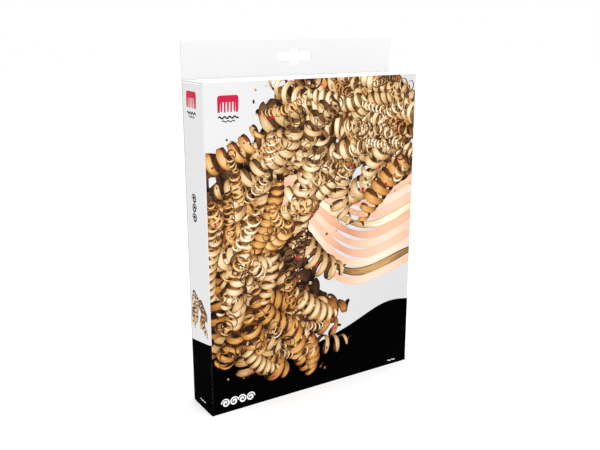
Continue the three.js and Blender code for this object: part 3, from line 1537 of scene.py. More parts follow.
@dataclass
class InkLayer:
    """Overlapping flat pieces, cut into one layer in which only the topmost piece shows.

    A press lays its picture down as one layer, so no two faces of the result overlap.

    Attributes:
        mesh: the overlapping pieces, with a layer number on their points.
        window: the printed rectangle, as left, bottom, right and top.
        cell: the grid on which hidden pieces are sought.
        merge: how near two points are merged.
        straight: the angle, in radians, under which two edges or faces count as one.
        rounds: how often a place in a face is sought closer.
        fields: the values that the pieces' faces pass on.
    """

    mesh: bpy.types.Mesh
    window: Rect
    cell: float = 0.3
    merge: float = 1e-4
    straight: float = 0.02
    rounds: int = 8
    fields: tuple[str, ...] = ("along", "across", "seed", "lit")

    def __post_init__(self) -> None:
        """Reads the pieces' points, faces, inks and order."""
        flat = np.zeros(3 * len(self.mesh.vertices))
        self.mesh.vertices.foreach_get("co", flat)
        self.points = flat.reshape(-1, 3)[:, :2]
        self.faces = [tuple(polygon.vertices) for polygon in self.mesh.polygons]
        self.slots = [polygon.material_index for polygon in self.mesh.polygons]
        layers = self._values("layer")[[face[0] for face in self.faces]]
        self.always = {
            number for number, face in enumerate(self.faces) if len(face) > 4 or layers[number] >= MARK_LAYER
        }
        self.order = np.argsort(layers, kind="stable")
        self.rank = np.empty(len(self.order), dtype=int)
        self.rank[self.order] = np.arange(len(self.order))

    def _values(self, name: str) -> np.ndarray:
        """Reads a value on the points.

        Args:
            name: the attribute's name.

        Returns:
            The values, or zeros where the pieces have none.
        """
        values = np.zeros(len(self.mesh.vertices))
        if name in self.mesh.attributes:
            self.mesh.attributes[name].data.foreach_get("value", values)
        return values

    def _seen(self) -> list[int]:
        """Finds the faces that aren't hidden, by painting them in order on a grid.

        Returns:
            The faces' numbers.
        """
        left, bottom, right, top = self.window
        wide, tall = int((right - left) / self.cell) + 1, int((top - bottom) / self.cell) + 1
        shown = np.full((tall, wide), -1, dtype=np.int32)
        seen = set(self.always)
        for number in self.order:
            if number in seen:
                continue
            corners = (self.points[list(self.faces[number])] - (left, bottom)) / self.cell
            c0, r0 = np.maximum(np.floor(corners.min(axis=0)).astype(int), 0)
            c1, r1 = np.minimum(np.ceil(corners.max(axis=0)).astype(int) + 1, (wide, tall))
            if c0 >= c1 or r0 >= r1:
                continue
            x, y = np.arange(c0, c1) + 0.5, (np.arange(r0, r1) + 0.5)[:, None]
            one_way = np.ones((r1 - r0, c1 - c0), dtype=bool)
            other_way = one_way.copy()
            for a, b in zip(corners, np.roll(corners, -1, axis=0)):
                turn = (b[0] - a[0]) * (y - a[1]) - (b[1] - a[1]) * (x - a[0])
                one_way &= turn >= 0
                other_way &= turn <= 0
            shown[r0:r1, c0:c1][one_way | other_way] = number
        seen.update(int(number) for number in np.unique(shown) if number >= 0)
        return sorted(seen)

    def _ring(self, number: int) -> list[int]:
        """Orders a face's points so that they run anticlockwise without a crossing.

        Args:
            number: the face's number.

        Returns:
            The points' numbers.
        """
        face = list(self.faces[number])
        corners = self.points[face]
        if len(face) == 4:
            spokes = corners - corners.mean(axis=0)
            return [face[k] for k in np.argsort(np.arctan2(spokes[:, 1], spokes[:, 0]))]
        x, y = corners[:, 0], corners[:, 1]
        doubled = float(np.sum(x * np.roll(y, -1) - np.roll(x, -1) * y))
        return face if doubled > 0 else face[::-1]

    def _cut(self, seen: Sequence[int]) -> bmesh.types.BMesh:
        """Cuts the seen faces at their crossings and keeps the topmost one everywhere.

        Args:
            seen: the faces' numbers.

        Returns:
            The layer; each face's material number is its place in the list.
        """
        rings = [self._ring(number) for number in seen]
        used = sorted({point for ring in rings for point in ring})
        renumbered = {point: k for k, point in enumerate(used)}
        points = [Vector(self.points[point]) for point in used]
        inputs = [[renumbered[point] for point in ring] for ring in rings]
        places, _, faces, _, _, origins = delaunay_2d_cdt(points, [], inputs, 1, self.merge, True)
        ranks = [self.rank[number] for number in seen]
        tops = [max(sources, key=ranks.__getitem__) if sources else -1 for sources in origins]
        kept = [k for k, top in enumerate(tops) if top >= 0]
        mesh = bpy.data.meshes.new("cut")
        mesh.from_pydata([(x, y, 0.0) for x, y in places], [], [faces[k] for k in kept])
        mesh.polygons.foreach_set("material_index", np.array([tops[k] for k in kept], dtype=np.int32))
        work = bmesh.new()
        work.from_mesh(mesh)
        bpy.data.meshes.remove(mesh)
        bmesh.ops.dissolve_limit(
            work, angle_limit=self.straight, use_dissolve_boundaries=False,
            verts=work.verts, edges=work.edges, delimit={"MATERIAL"},
        )
        loose = [point for point in work.verts if not point.link_faces]
        bmesh.ops.delete(work, geom=loose, context="VERTS")
        return work

    def _places(self, work: bmesh.types.BMesh, seen: Sequence[int]) -> tuple[np.ndarray, np.ndarray]:
        """Finds each corner's place in the face that it comes from.

        Args:
            work: the layer.
            seen: the faces' numbers.

        Returns:
            The four weights of each corner and the four points that they weigh.
        """
        spots, quads = [], []
        for face in work.faces:
            source = self.faces[seen[face.material_index]]
            quad = source if len(source) == 4 else (source[0],) * 4
            for loop in face.loops:
                spots.append(loop.vert.co.xy)
                quads.append(quad)
        quads = np.array(quads)
        spots = np.array(spots)
        a, b, c, d = (self.points[quads[:, k]] for k in range(4))
        u, v = np.full(len(spots), 0.5), np.full(len(spots), 0.5)
        for _ in range(self.rounds):
            here = (
                a * ((1 - u) * (1 - v))[:, None] + b * (u * (1 - v))[:, None]
                + c * (u * v)[:, None] + d * ((1 - u) * v)[:, None]
            )
            miss = here - spots
            along_u = (b - a) * (1 - v)[:, None] + (c - d) * v[:, None]
            along_v = (d - a) * (1 - u)[:, None] + (c - b) * u[:, None]
            area = along_u[:, 0] * along_v[:, 1] - along_u[:, 1] * along_v[:, 0]
            area = np.where(np.abs(area) < NOTHING, NOTHING, area)
            u = np.clip(u - (miss[:, 0] * along_v[:, 1] - miss[:, 1] * along_v[:, 0]) / area, 0.0, 1.0)
            v = np.clip(v - (along_u[:, 0] * miss[:, 1] - along_u[:, 1] * miss[:, 0]) / area, 0.0, 1.0)
        weights = np.stack([(1 - u) * (1 - v), u * (1 - v), u * v, (1 - u) * v], axis=1)
        return weights, quads

    def flatten(self) -> bmesh.types.BMesh:
        """Makes the layer.

        Returns:
            The layer, with each face's ink as its material number and the fields on its corners.
        """
        seen = self._seen()
        work = self._cut(seen)
        weights, quads = self._places(work, seen)
        for name in self.fields:
            values = (self._values(name)[quads] * weights).sum(axis=1)
            layer = work.loops.layers.float.new(name)
            number = 0
            for face in work.faces:
                for loop in face.loops:
                    loop[layer] = values[number]
                    number += 1
        for face in work.faces:
            face.material_index = self.slots[seen[face.material_index]]
        return work


@dataclass(frozen=True)
class Streamer:
    """A curled paper streamer: a ribbon wound round a bent middle line.

    Attributes:
        heading: the direction that it starts in, in degrees.
        bend: how far it turns over its length, in degrees.
        radius: its coils' radius.
        pitch: the advance of one coil.
        tone: how much lighter it is than its ink's middle tone.
        layer: its first layer.
        seed: the seed of its streaks and its sway.
        open_coils: how round its coils look, from 0.3 for a side view to 1 for rings.
        sway: how far its middle line sways, in degrees, and how fast.
        root: the first coils' share of the radius, and how fast the next ones grow.
        tip: the same at its other end.
        thin: a ribbon's share of its width at a coil's edge, and what open coils add to it.
        fullness: the power by which its width grows towards a coil's middle.
        snug: how much of its turn's radius a ribbon takes up at most.
        front_light: a front half coil's light at its edge, what its middle adds, and the power.
        back_light: the same of a back half coil.
    """

    start: Pair
    heading: float
    bend: float
    length: float
    radius: float
    pitch: float
    width: float
    tone: float
    ink: Ink
    layer: float
    seed: float
    open_coils: float = 0.42
    samples: int = 17
    spine_samples: int = 240
    sway: Pair = (9.0, 4.0)
    root: Pair = (0.40, 3.0)
    tip: Pair = (0.35, 2.2)
    thin: Pair = (0.22, 0.30)
    fullness: float = 0.8
    snug: float = 0.85
    front_light: Triple = (0.36, 0.46, 1.3)
    back_light: Triple = (0.03, 0.24, 1.5)

    def _spine(self) -> tuple[np.ndarray, np.ndarray, np.ndarray]:
        """Follows the middle line.

        Returns:
            The lengths, the points and the directions at a fine step.
        """
        lengths = np.linspace(0.0, self.length + self.pitch, self.spine_samples)
        share = lengths / self.length
        sway = self.sway[0] * np.sin(self.sway[1] * share + self.seed)
        turn = np.radians(self.heading + self.bend * share + sway)
        tangents = np.stack([np.cos(turn), np.sin(turn)], axis=1)
        steps = np.diff(lengths, prepend=0.0)[:, None]
        return lengths, np.array(self.start) + np.cumsum(tangents * steps, axis=0), tangents

    def _turn_radius(self, theta: np.ndarray) -> np.ndarray:
        """Works out how tightly a coil turns, which its ribbon can't be wider than.

        Args:
            theta: the angles round the coil.

        Returns:
            The radii of the turn.
        """
        flat = self.radius * self.open_coils
        along, sideways = self.pitch / (2 * np.pi) + flat * np.cos(theta), -self.radius * np.sin(theta)
        along_rate, sideways_rate = -flat * np.sin(theta), -self.radius * np.cos(theta)
        twist = np.abs(along * sideways_rate - sideways * along_rate)
        return np.hypot(along, sideways) ** 3 / np.maximum(twist, TINY)

    def paths(self) -> list[Path]:
        """Splits the streamer into half coils, the back ones under the front ones.

        Returns:
            The half coils' paths.
        """
        lengths, spine, tangents = self._spine()
        made: list[Path] = []
        for half in range(2 * max(2, round(self.length / self.pitch))):
            front = half % 2 == 0
            theta = np.pi * (half + np.linspace(0.0, 1.0, self.samples))
            s = self.pitch * theta / (2 * np.pi)
            middle = np.stack([np.interp(s, lengths, spine[:, k]) for k in (0, 1)], axis=1)
            tangent = np.stack([np.interp(s, lengths, tangents[:, k]) for k in (0, 1)], axis=1)
            normal = np.stack([-tangent[:, 1], tangent[:, 0]], axis=1)
            share = np.clip(s / self.length, 0.0, 1.0)
            swell = np.minimum(1.0, self.root[0] + self.root[1] * share)
            swell = swell * np.minimum(1.0, self.tip[0] + self.tip[1] * (1.0 - share))
            reach = self.radius * swell
            places = (
                middle + normal * (reach * np.cos(theta))[:, None]
                + tangent * (reach * self.open_coils * np.sin(theta))[:, None]
            )
            face = np.abs(np.sin(theta))
            thin = self.thin[0] + self.thin[1] * self.open_coils
            widths = 0.5 * self.width * swell * (thin + (1.0 - thin) * face ** self.fullness)
            widths = np.minimum(widths, self.snug * swell * self._turn_radius(theta))
            edge, middle_adds, power = self.front_light if front else self.back_light
            glow = edge + middle_adds * face ** power
            over = (half // 2) % 2 + (2 if front else 0)
            lit = (glow + self.tone).tolist()
            made.append(Path(places.tolist(), widths.tolist(), lit, self.seed, self.layer + over, self.ink))
        return made


@dataclass(frozen=True)
class Tier:
    """One depth of the streamers' cascade: ranges to draw its streamers from."""

    count: int
    spacing: float
    radius: Pair
    width: Pair
    length: Pair
    tone: Pair
    open_coils: Pair
    inks: tuple[Ink, ...]
    layer: float
    reach: float


STREAMER_LAYERS = 4.0
STREAK_SEEDS = 30.0
WAVE_LAYER = 330.0
SWEEP_LAYER = 350.0
CONFETTI_LAYER = 1500.0
MARK_LAYER = 2000.0
FRONT_TIERS = (
    Tier(44, 15.0, (13.0, 17.0), (15.0, 20.0), (60.0, 110.0), (-0.22, -0.02), (0.4, 0.6),
         (Ink.UMBER, Ink.UMBER, Ink.COPPER), 0.0, 0.86),
    Tier(46, 15.0, (9.0, 13.0), (7.0, 10.0), (60.0, 120.0), (-0.10, 0.06), (0.4, 0.9),
         (Ink.COPPER, Ink.GOLD, Ink.GOLD), 400.0, 1.0),
    Tier(52, 14.5, (7.0, 12.0), (5.0, 8.0), (40.0, 110.0), (-0.02, 0.16), (0.35, 1.0),
         (Ink.GOLD, Ink.GOLD, Ink.GOLD, Ink.COPPER), 800.0, 1.06),
    Tier(56, 12.0, (4.0, 8.5), (1.0, 2.6), (18.0, 52.0), (0.0, 0.30), (0.7, 1.0),
         (Ink.GOLD, Ink.GOLD, Ink.COPPER, Ink.UMBER), 1200.0, 1.22),
)


@dataclass
class Cascade:
    """Where the front's streamers lie: along a curve from the upper right, by the left, to the foot.

    Lengths are in millimetres and angles in degrees.

    Attributes:
        reaches: how far from each of the curve's points streamers may start.
        kept_clear: the rectangles that no streamer covers.
        overhang: how far past the right and the top edge a streamer may start.
        turn: how far a streamer's heading leaves the curve's.
        pitch: the range of a coil's advance, in shares of its radius.
        tight: that share's factor for closed coils, and what open ones take off it.
        short: the height under which streamers are shorter, and their share of the length.
        dim: the height under which streamers are darker, and by how much.
    """

    half: float
    height: float
    spine: tuple[Pair, ...] = (
        (132.0, 250.0), (92.0, 272.0), (38.0, 276.0), (-16.0, 258.0), (-58.0, 218.0),
        (-76.0, 164.0), (-72.0, 108.0), (-48.0, 60.0), (-14.0, 26.0),
    )
    reaches: tuple[float, ...] = (34.0, 38.0, 40.0, 46.0, 50.0, 46.0, 42.0, 34.0, 20.0)
    kept_clear: tuple[Rect, ...] = ((-120.0, 276.0, -78.0, 321.0), (-120.0, -1.0, -68.0, 21.0))
    seed: int = 23
    tries: int = 20000
    lowest: float = 40.0
    overhang: float = 12.0
    turn: float = 42.0
    bend: float = 85.0
    pitch: Pair = (0.85, 1.15)
    tight: Pair = (1.25, 0.25)
    short: Pair = (110.0, 0.55)
    dim: Pair = (170.0, 0.10)

    def nearest(self, x: float, z: float) -> Pair:
        """Finds the cascade's curve near a place.

        Args:
            x: the place across.
            z: the place up.

        Returns:
            The distance in shares of the cascade's reach, and the curve's direction in degrees.
        """
        best = (math.inf, 0.0)
        for k, ((ax, az), (bx, bz)) in enumerate(zip(self.spine, self.spine[1:])):
            dx, dz = bx - ax, bz - az
            t = min(max(((x - ax) * dx + (z - az) * dz) / (dx * dx + dz * dz), 0.0), 1.0)
            reach = self.reaches[k] + (self.reaches[k + 1] - self.reaches[k]) * t
            away = math.dist((x, z), (ax + dx * t, az + dz * t)) / reach
            if away < best[0]:
                best = (away, math.degrees(math.atan2(dz, dx)))
        return best

    def _covers_kept(self, streamer: Streamer) -> bool:
        """Tells whether a streamer runs over a place that is kept clear.

        Args:
            streamer: the streamer.

        Returns:
            True where it does.
        """
        half = streamer.width / 2
        return any(
            left - half < x < right + half and bottom - half < z < top + half
            for path in streamer.paths() for x, z in path.points
            for left, bottom, right, top in self.kept_clear
        )

    def streamers(self) -> list[Streamer]:
        """Draws every tier's streamers.

        Returns:
            The streamers, from the lowest layer up.
        """
        made: list[Streamer] = []
        draw = random.Random(self.seed)
        for tier in FRONT_TIERS:
            spots: list[Triple] = []
            for _ in range(self.tries):
                if len(spots) == tier.count:
                    break
                x = draw.uniform(-self.half, self.half + self.overhang)
                z = draw.uniform(self.lowest, self.height + self.overhang)
                away, heading = self.nearest(x, z)
                apart = all(math.dist((x, z), spot[:2]) > tier.spacing for spot in spots)
                if away < tier.reach and apart:
                    spots.append((x, z, heading))
            spots.sort(key=lambda spot: spot[1] - 0.5 * spot[0])
            for k, (x, z, heading) in enumerate(spots):
                radius = draw.uniform(*tier.radius)
                opened = draw.uniform(*tier.open_coils)
                drawn = Streamer(
                    start=(x, z),
                    heading=heading + draw.uniform(-self.turn, self.turn),
                    bend=draw.uniform(-self.bend, self.bend),
                    length=draw.uniform(*tier.length) * (1.0 if z > self.short[0] else self.short[1]),
                    radius=radius,
                    pitch=radius * draw.uniform(*self.pitch) * (self.tight[0] - self.tight[1] * opened),
                    width=draw.uniform(*tier.width),
                    tone=draw.uniform(*tier.tone) - (self.dim[1] if z < self.dim[0] else 0.0),
                    ink=draw.choice(tier.inks),
                    layer=tier.layer + STREAMER_LAYERS * k,
                    seed=draw.uniform(0.0, STREAK_SEEDS),
                    open_coils=opened,
                )
                if not self._covers_kept(drawn):
                    made.append(drawn)
        return made


@dataclass(frozen=True)
class Sweep:
    """A broad smooth ribbon that waves between two points.

    Attributes:
        rise: how far it swings to each side.
        waves: how many waves it makes.
        phase: where in a wave it starts, in radians.
        seed: the seed of its streaks.
        glow: its middle light.
        dimming: how much darker its darkest place is.
        contrast: how much lighter its lightest place is than that.
        thin: its share of the width where it is thinnest.
        lead: how far its light runs ahead of its wave, in radians.
    """

    start: Pair
    end: Pair
    rise: float
    waves: float
    phase: float
    width: float
    layer: float
    seed: float
    ink: Ink = Ink.PEACH
    glow: float = 0.58
    dimming: float = 0.24
    contrast: float = 0.46
    thin: float = 0.6
    lead: float = 0.6
    steps: int = 54

    def path(self) -> Path:
        """Follows the wave.

        Returns:
            The ribbon's path.
        """
        points, widths, lit = [], [], []
        dx, dz = self.end[0] - self.start[0], self.end[1] - self.start[1]
        length = math.hypot(dx, dz)
        for k in range(self.steps + 1):
            t = k / self.steps
            turn = 2 * math.pi * self.waves * t + self.phase
            swing = self.rise * math.sin(turn)
            x, z = self.start[0] + dx * t, self.start[1] + dz * t
            points.append((x - dz / length * swing, z + dx / length * swing))
            face = abs(math.cos(turn + self.lead))
            widths.append(0.5 * self.width * (self.thin + (1.0 - self.thin) * face))
            lit.append(self.glow - self.dimming + self.contrast * face)
        return Path(points, widths, lit, self.seed, self.layer, self.ink)


@dataclass(frozen=True)
class Scroll:
    """A spiral scroll of fine line.

    Attributes:
        size: its outer radius.
        flip: 1 or -1, the way that it winds.
        curl: the power by which it winds in.
        eye: its middle's share of its size.
        line: its line's half width at its start, and what its end adds, as shares of its size.
    """

    centre: Pair
    size: float
    flip: float
    ink: Ink
    layer: float
    turns: float = 1.5
    curl: float = 0.8
    eye: float = 0.08
    line: Pair = (0.12, 0.16)
    light: float = 0.9
    steps: int = 40

    def path(self) -> Path:
        """Follows the spiral inwards.

        Returns:
            The scroll's path.
        """
        points, widths = [], []
        for k in range(self.steps + 1):
            t = k / self.steps
            turn = 2 * math.pi * self.turns * (1 - t)
            reach = self.size * ((1 - t) ** self.curl + self.eye)
            points.append((
                self.centre[0] + self.flip * reach * math.cos(turn), self.centre[1] + reach * math.sin(turn)
            ))
            widths.append(self.size * (self.line[0] + self.line[1] * t))
        return Path(points, widths, [self.light] * len(points), 1.0, self.layer, self.ink)


def squiggle(centre: Pair, length: float, width: float, ink: Ink) -> list[Path]:
    """Draws a small wavy underline.

    Args:
        centre: its middle.
        length: its length.
        width: the line's width.
        ink: its ink.

    Returns:
        The path, in a list.
    """
    rise, wave, steps_to_mm = 0.6 * width, 5.0, 5.0
    made = Sweep(
        start=(centre[0] - length / 2, centre[1]), end=(centre[0] + length / 2, centre[1]),
        rise=rise, waves=length / wave, phase=0.0, width=width, layer=MARK_LAYER, seed=2.0, ink=ink,
        steps=round(steps_to_mm * length),
    )
    return [made.path()]


def scrolls(start: Pair, step: Pair, count: int, ink: Ink) -> list[Path]:
    """Draws a row of scrolls that wind left and right by turns.

    Args:
        start: the first one's middle.
        step: the way from one to the next.
        count: how many there are.
        ink: their ink.

    Returns:
        Their paths.
    """
    size = 4.4
    places = [(start[0] + step[0] * k, start[1] + step[1] * k) for k in range(count)]
    return [
        Scroll(place, size, (1.0, -1.0)[k % 2], ink, MARK_LAYER + k).path() for k, place in enumerate(places)
    ]


def comb_mark(centre: Pair, width: float, height: float, layer: float) -> list[Shape]:
    """Draws a small red comb: a spine and its teeth.

    Args:
        centre: the mark's middle.
        width: its width.
        height: its height.
        layer: its layer.

    Returns:
        The spine and the teeth.
    """
    teeth, steps = 7, 6
    end_tooth, tooth, tooth_tip, short_tooth = 0.95, 0.62, 0.75, 0.04
    left, top = centre[0] - width / 2, centre[1] + height / 2
    spine = height * 0.40
    r = spine * 0.45
    shapes = [
        arc((left + r, top - r), r, 90.0, 180.0, steps)
        + [(left, top - spine), (left + width, top - spine)]
        + arc((left + width - r, top - r), r, 0.0, 90.0, steps)
    ]
    pitch = width / (teeth - 0.4)
    for k in range(teeth):
        wide = pitch * (end_tooth if k in (0, teeth - 1) else tooth)
        x = min(left + k * pitch, left + width - wide)
        tip = top - height + (0.0 if k % 2 == 0 else height * short_tooth)
        shapes.append([(x, top - spine), (x, tip), (x + wide * tooth_tip, tip), (x + wide, top - spine)])
    return [Shape(outline, layer, Ink.RED) for outline in shapes]


def black_wave(half: float, layer: float) -> Shape:
    """Draws the black ground that rises along the front's foot.

    Args:
        half: half of the panel's flat width, in millimetres.
        layer: its layer.

    Returns:
        The shape.
    """
    steps, foot, trough = 80, -1.0, 41.0
    rise, left_reach, right_start, right_reach = 34.0, 22.0, 30.0, 18.0
    ripple, ripple_reach = 3.0, 15.2
    crest = []
    for k in range(steps + 1):
        x = half - 2 * half * k / steps
        height = trough + rise * math.exp(-(((x + half) / left_reach) ** 2))
        height += rise / (1.0 + math.exp(-(x - right_start) / right_reach))
        crest.append((x, height + ripple * math.sin((x + half) / ripple_reach)))
    return Shape([(-half, foot), (half, foot)] + crest, layer, Ink.BLACK)


@dataclass
class Print:
    """The print on one wall: ribbons, confetti and flat shapes in the wall's own plane.

    Attributes:
        place: lays a point and a stand-off on the wall.
        window: the printed rectangle, as left, bottom, right and top.
        lift: how far the ink stands off the board, in millimetres.
    """

    name: str
    palette: Palette
    place: Place
    window: Rect
    lift: float = 0.05
    slice_step: float = 5.0
    ribbons: list[Path] = field(default_factory=list)
    flecks: list[Fleck] = field(default_factory=list)
    shapes: list[Shape] = field(default_factory=list)

    def _flat_shape(self, number: int, shape: Shape) -> Piece:
        """Makes a flat shape, sliced finely enough to follow the wall.

        Args:
            number: its number.
            shape: the shape.

        Returns:
            The flat object.
        """
        mesh = bpy.data.meshes.new(f"{self.name}_shape_{number}")
        mesh.from_pydata([(x, z, 0.0) for x, z in shape.outline], [], [list(range(len(shape.outline)))])
        mesh.materials.append(self.palette.inks[shape.ink.value])
        work = bmesh.new()
        work.from_mesh(mesh)
        reach = [x for x, _ in shape.outline]
        for x in even(min(reach), max(reach), self.slice_step)[1:-1]:
            sliced(work, (x, 0.0, 0.0), (1.0, 0.0, 0.0), False)
        work.to_mesh(mesh)
        work.free()
        layers = mesh.attributes.new("layer", "FLOAT", "POINT")
        layers.data.foreach_set("value", np.full(len(mesh.vertices), shape.layer, dtype=np.float32))
        return linked(mesh.name, mesh)

    def _drawn(self) -> Piece:
        """Draws every piece, one over another.

        Returns:
            The overlapping pieces as one flat object.
        """
        parts = [self._flat_shape(number, shape) for number, shape in enumerate(self.shapes)]
        ribbons, confetti = RibbonTree(), ConfettiTree()
        for ink in Ink:
            material = self.palette.inks[ink.value]
            chosen = [path for path in self.ribbons if path.ink is ink]
            if chosen:
                parts.append(ribbons.sweep(f"{self.name}_{ink.name}", chosen, material))
            for corners in sorted({fleck.corners for fleck in self.flecks if fleck.ink is ink}):
                flecks = [fleck for fleck in self.flecks if fleck.ink is ink and fleck.corners == corners]
                parts.append(confetti.scatter(f"{self.name}_{ink.name}_{corners}", flecks, material))
        return joined(self.name, parts)

    def _trim(self, work: bmesh.types.BMesh) -> None:
        """Trims the flat print at its window's edges and turns it to face outwards.

        Args:
            work: the print.
        """
        left, bottom, right, top = self.window
        cuts = (
            ((left, 0.0, 0.0), (-1.0, 0.0, 0.0)), ((right, 0.0, 0.0), (1.0, 0.0, 0.0)),
            ((0.0, bottom, 0.0), (0.0, -1.0, 0.0)), ((0.0, top, 0.0), (0.0, 1.0, 0.0)),
        )
        for point, outward in cuts:
            sliced(work, point, outward, True)
        for face in work.faces:
            face.normal_update()
        bmesh.ops.reverse_faces(work, faces=[face for face in work.faces if face.normal.z < 0])

    def build(self) -> Piece:
        """Prints the pieces as one layer and lays it on the wall.

        Returns:
            The print as one piece that rides on the carton.
        """
        made = self._drawn()
        work = InkLayer(made.data, self.window).flatten()
        self._trim(work)
        for point in work.verts:
            point.co = self.place(point.co.x * MM, point.co.y * MM, self.lift * MM)
        mesh = bpy.data.meshes.new(self.name)
        for material in made.data.materials:
            mesh.materials.append(material)
        work.to_mesh(mesh)
        work.free()
        mesh.shade_smooth()
        made.data = mesh
        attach(made, Body.CARTON.value)
        return made


def sliced(work: bmesh.types.BMesh, point: Triple, outward: Triple, trim: bool) -> None:
    """Cuts a mesh by a plane, and where asked trims what lies outwards of it."""
    every = [*work.verts, *work.edges, *work.faces]
    bmesh.ops.bisect_plane(work, geom=every, plane_co=point, plane_no=outward, clear_outer=trim)


def joined(name: str, parts: Sequence[Piece]) -> Piece:
    """Joins mesh objects into one.

    Args:
        name: the new name.
        parts: the objects, of which the first is kept.

    Returns:
        The joined object.
    """
    with bpy.context.temp_override(
        active_object=parts[0], object=parts[0],
        selected_objects=list(parts), selected_editable_objects=list(parts),
    ):
        bpy.ops.object.join()
    parts[0].name = name
    parts[0].data.name = name
    return parts[0]


@dataclass
class Graphics:
    """The carton's whole print: the front's cascade, the side's small one and the marks.

    Attributes:
        fleck_rise: the confetti's least distance from the foot and from the top.
        fleck_reach: its least and its greatest distance, in shares of the cascade's reach.
    """

    sizes: Sizes
    palette: Palette
    sleeve: Sleeve
    mark_size: Pair = (21.0, 15.0)
    flecks: int = 120
    fleck_seed: int = 41
    fleck_rise: Pair = (16.0, 4.0)
    fleck_reach: Pair = (0.92, 2.6)
    fleck_size: Pair = (1.0, 2.3)
    ornaments: tuple[Rect, ...] = ((-125.0, 0.0, -70.0, 26.0), (-125.0, 272.0, -78.0, 320.0))
    disc_corners: int = 14
    disc_share: float = 0.55
    side_streamers: int = 11
    side_seed: int = 5

    def _confetti(self, half: float, height: float, cascade: Cascade) -> list[Fleck]:
        """Scatters confetti round the cascade and over the black ground.

        Args:
            half: half of the front's flat width, in millimetres.
            height: its height, in millimetres.
            cascade: the cascade, whose middle is left free.

        Returns:
            The flecks.
        """
        draw = random.Random(self.fleck_seed)
        made: list[Fleck] = []
        foot, head = self.fleck_rise
        nearest, farthest = self.fleck_reach
        while len(made) < self.flecks:
            x, z = draw.uniform(-half, half), draw.uniform(foot, height - head)
            away = cascade.nearest(x, z)[0]
            on_ornament = any(a < x < c and b < z < d for a, b, c, d in self.ornaments)
            if nearest < away < farthest and draw.random() < 1.5 - 0.5 * away and not on_ornament:
                round_one = draw.random() < self.disc_share
                made.append(Fleck(
                    place=(x, z), radius=draw.uniform(*self.fleck_size), stretch=draw.uniform(0.55, 1.0),
                    turn=draw.uniform(0.0, math.pi), corners=self.disc_corners if round_one else 4,
                    layer=CONFETTI_LAYER + len(made),
                    ink=draw.choice((Ink.GOLD, Ink.GOLD, Ink.COPPER, Ink.UMBER, Ink.PEACH, Ink.RED)),
                ))
        return made

    @staticmethod
    def _bundle() -> list[Sweep]:
        """Lays a bundle of smooth party ribbons that fans out to the right.

        Returns:
            The ribbons, from the lowest up.
        """
        tones = (0.40, 0.66, 0.52, 0.78)
        return [
            Sweep(
                start=(-64.0, 216.0 - 5.0 * k), end=(136.0, 214.0 - 12.5 * k), rise=15.0 + 0.9 * k,
                waves=0.98, phase=0.5 + 0.10 * k, width=9.5, layer=SWEEP_LAYER + k, seed=3.0 + 5.0 * k,
                glow=tones[k % len(tones)], ink=Ink.GOLD if k % 5 == 3 else Ink.PEACH,
            )
            for k in range(10)
        ]

    def _mark(self, sheet: Print, centre: Pair, lines: Sequence[Triple]) -> None:
        """Adds the red comb and the wavy lines under it.

        Args:
            sheet: the print.
            centre: the comb's middle.
            lines: each line's rise over that, its length and its width.
        """
        sheet.shapes += comb_mark(centre, *self.mark_size, MARK_LAYER)
        for rise, length, width in lines:
            sheet.ribbons += squiggle((centre[0], centre[1] + rise), length, width, Ink.BLACK)

    def _front(self) -> Piece:
        """Makes the front's print.

        Returns:
            The finished print.
        """
        half, height = self.sizes.flat_half / MM, self.sizes.height / MM
        sheet = Print("front_print", self.palette, self.sleeve.front_place, (-half, 0.4, half, height - 0.3))
        cascade = Cascade(half, height)
        for streamer in cascade.streamers():
            sheet.ribbons += streamer.paths()
        sheet.flecks = self._confetti(half, height, cascade)
        sheet.shapes.append(black_wave(half, WAVE_LAYER))
        sheet.ribbons += [sweep.path() for sweep in self._bundle()]
        self._mark(sheet, (-96.0, 301.0), ((-12.0, 20.0, 1.5), (-15.4, 13.0, 1.0)))
        sheet.ribbons += squiggle((100.0, 5.2), 11.0, 0.9, Ink.WHITE)
        sheet.ribbons += scrolls((-106.5, 10.5), (9.2, 0.0), 4, Ink.WHITE)
        return sheet.build()

    def _side(self) -> Piece:
        """Makes the left side's print: a bunch of small streamers, a row of scrolls and the mark.

        Returns:
            The finished print.
        """
        s = self.sizes
        low, high = (s.front + s.fold) / MM, (s.rear - s.fold) / MM
        middle = -(low + high) / 2
        window = (-high + 3.0, 3.0, -low - 3.0, s.height / MM - 4.0)
        sheet = Print("side_print", self.palette, self.sleeve.strip_place, window)
        draw = random.Random(self.side_seed)
        for k in range(self.side_streamers):
            sheet.ribbons += Streamer(
                start=(middle + draw.uniform(-11.0, 11.0), 104.0 + draw.uniform(-8.0, 16.0)),
                heading=draw.uniform(-140.0, -60.0), bend=draw.uniform(-60.0, 60.0),
                length=draw.uniform(14.0, 24.0), radius=draw.uniform(3.0, 4.6), pitch=draw.uniform(3.6, 4.6),
                width=draw.uniform(2.2, 3.4), tone=draw.uniform(-0.05, 0.15),
                ink=(Ink.UMBER, Ink.COPPER, Ink.GOLD, Ink.GOLD)[min(3, k // 2)],
                layer=STREAMER_LAYERS * k, seed=draw.uniform(0.0, STREAK_SEEDS),
                open_coils=draw.uniform(0.4, 0.9),
            ).paths()
        self._mark(sheet, (middle - 1.0, 304.0), ((-12.0, 19.0, 1.5), (-15.4, 12.0, 1.0)))
        sheet.ribbons += squiggle((middle + 1.0, 8.0), 12.0, 0.9, Ink.WHITE)
        sheet.ribbons += scrolls((middle - 2.0, 213.0), (0.0, -9.2), 3, Ink.BLACK)
        return sheet.build()

    def build(self) -> list[Piece]:
        """Makes the front's and the side's print."""
        return [self._front(), self._side()]


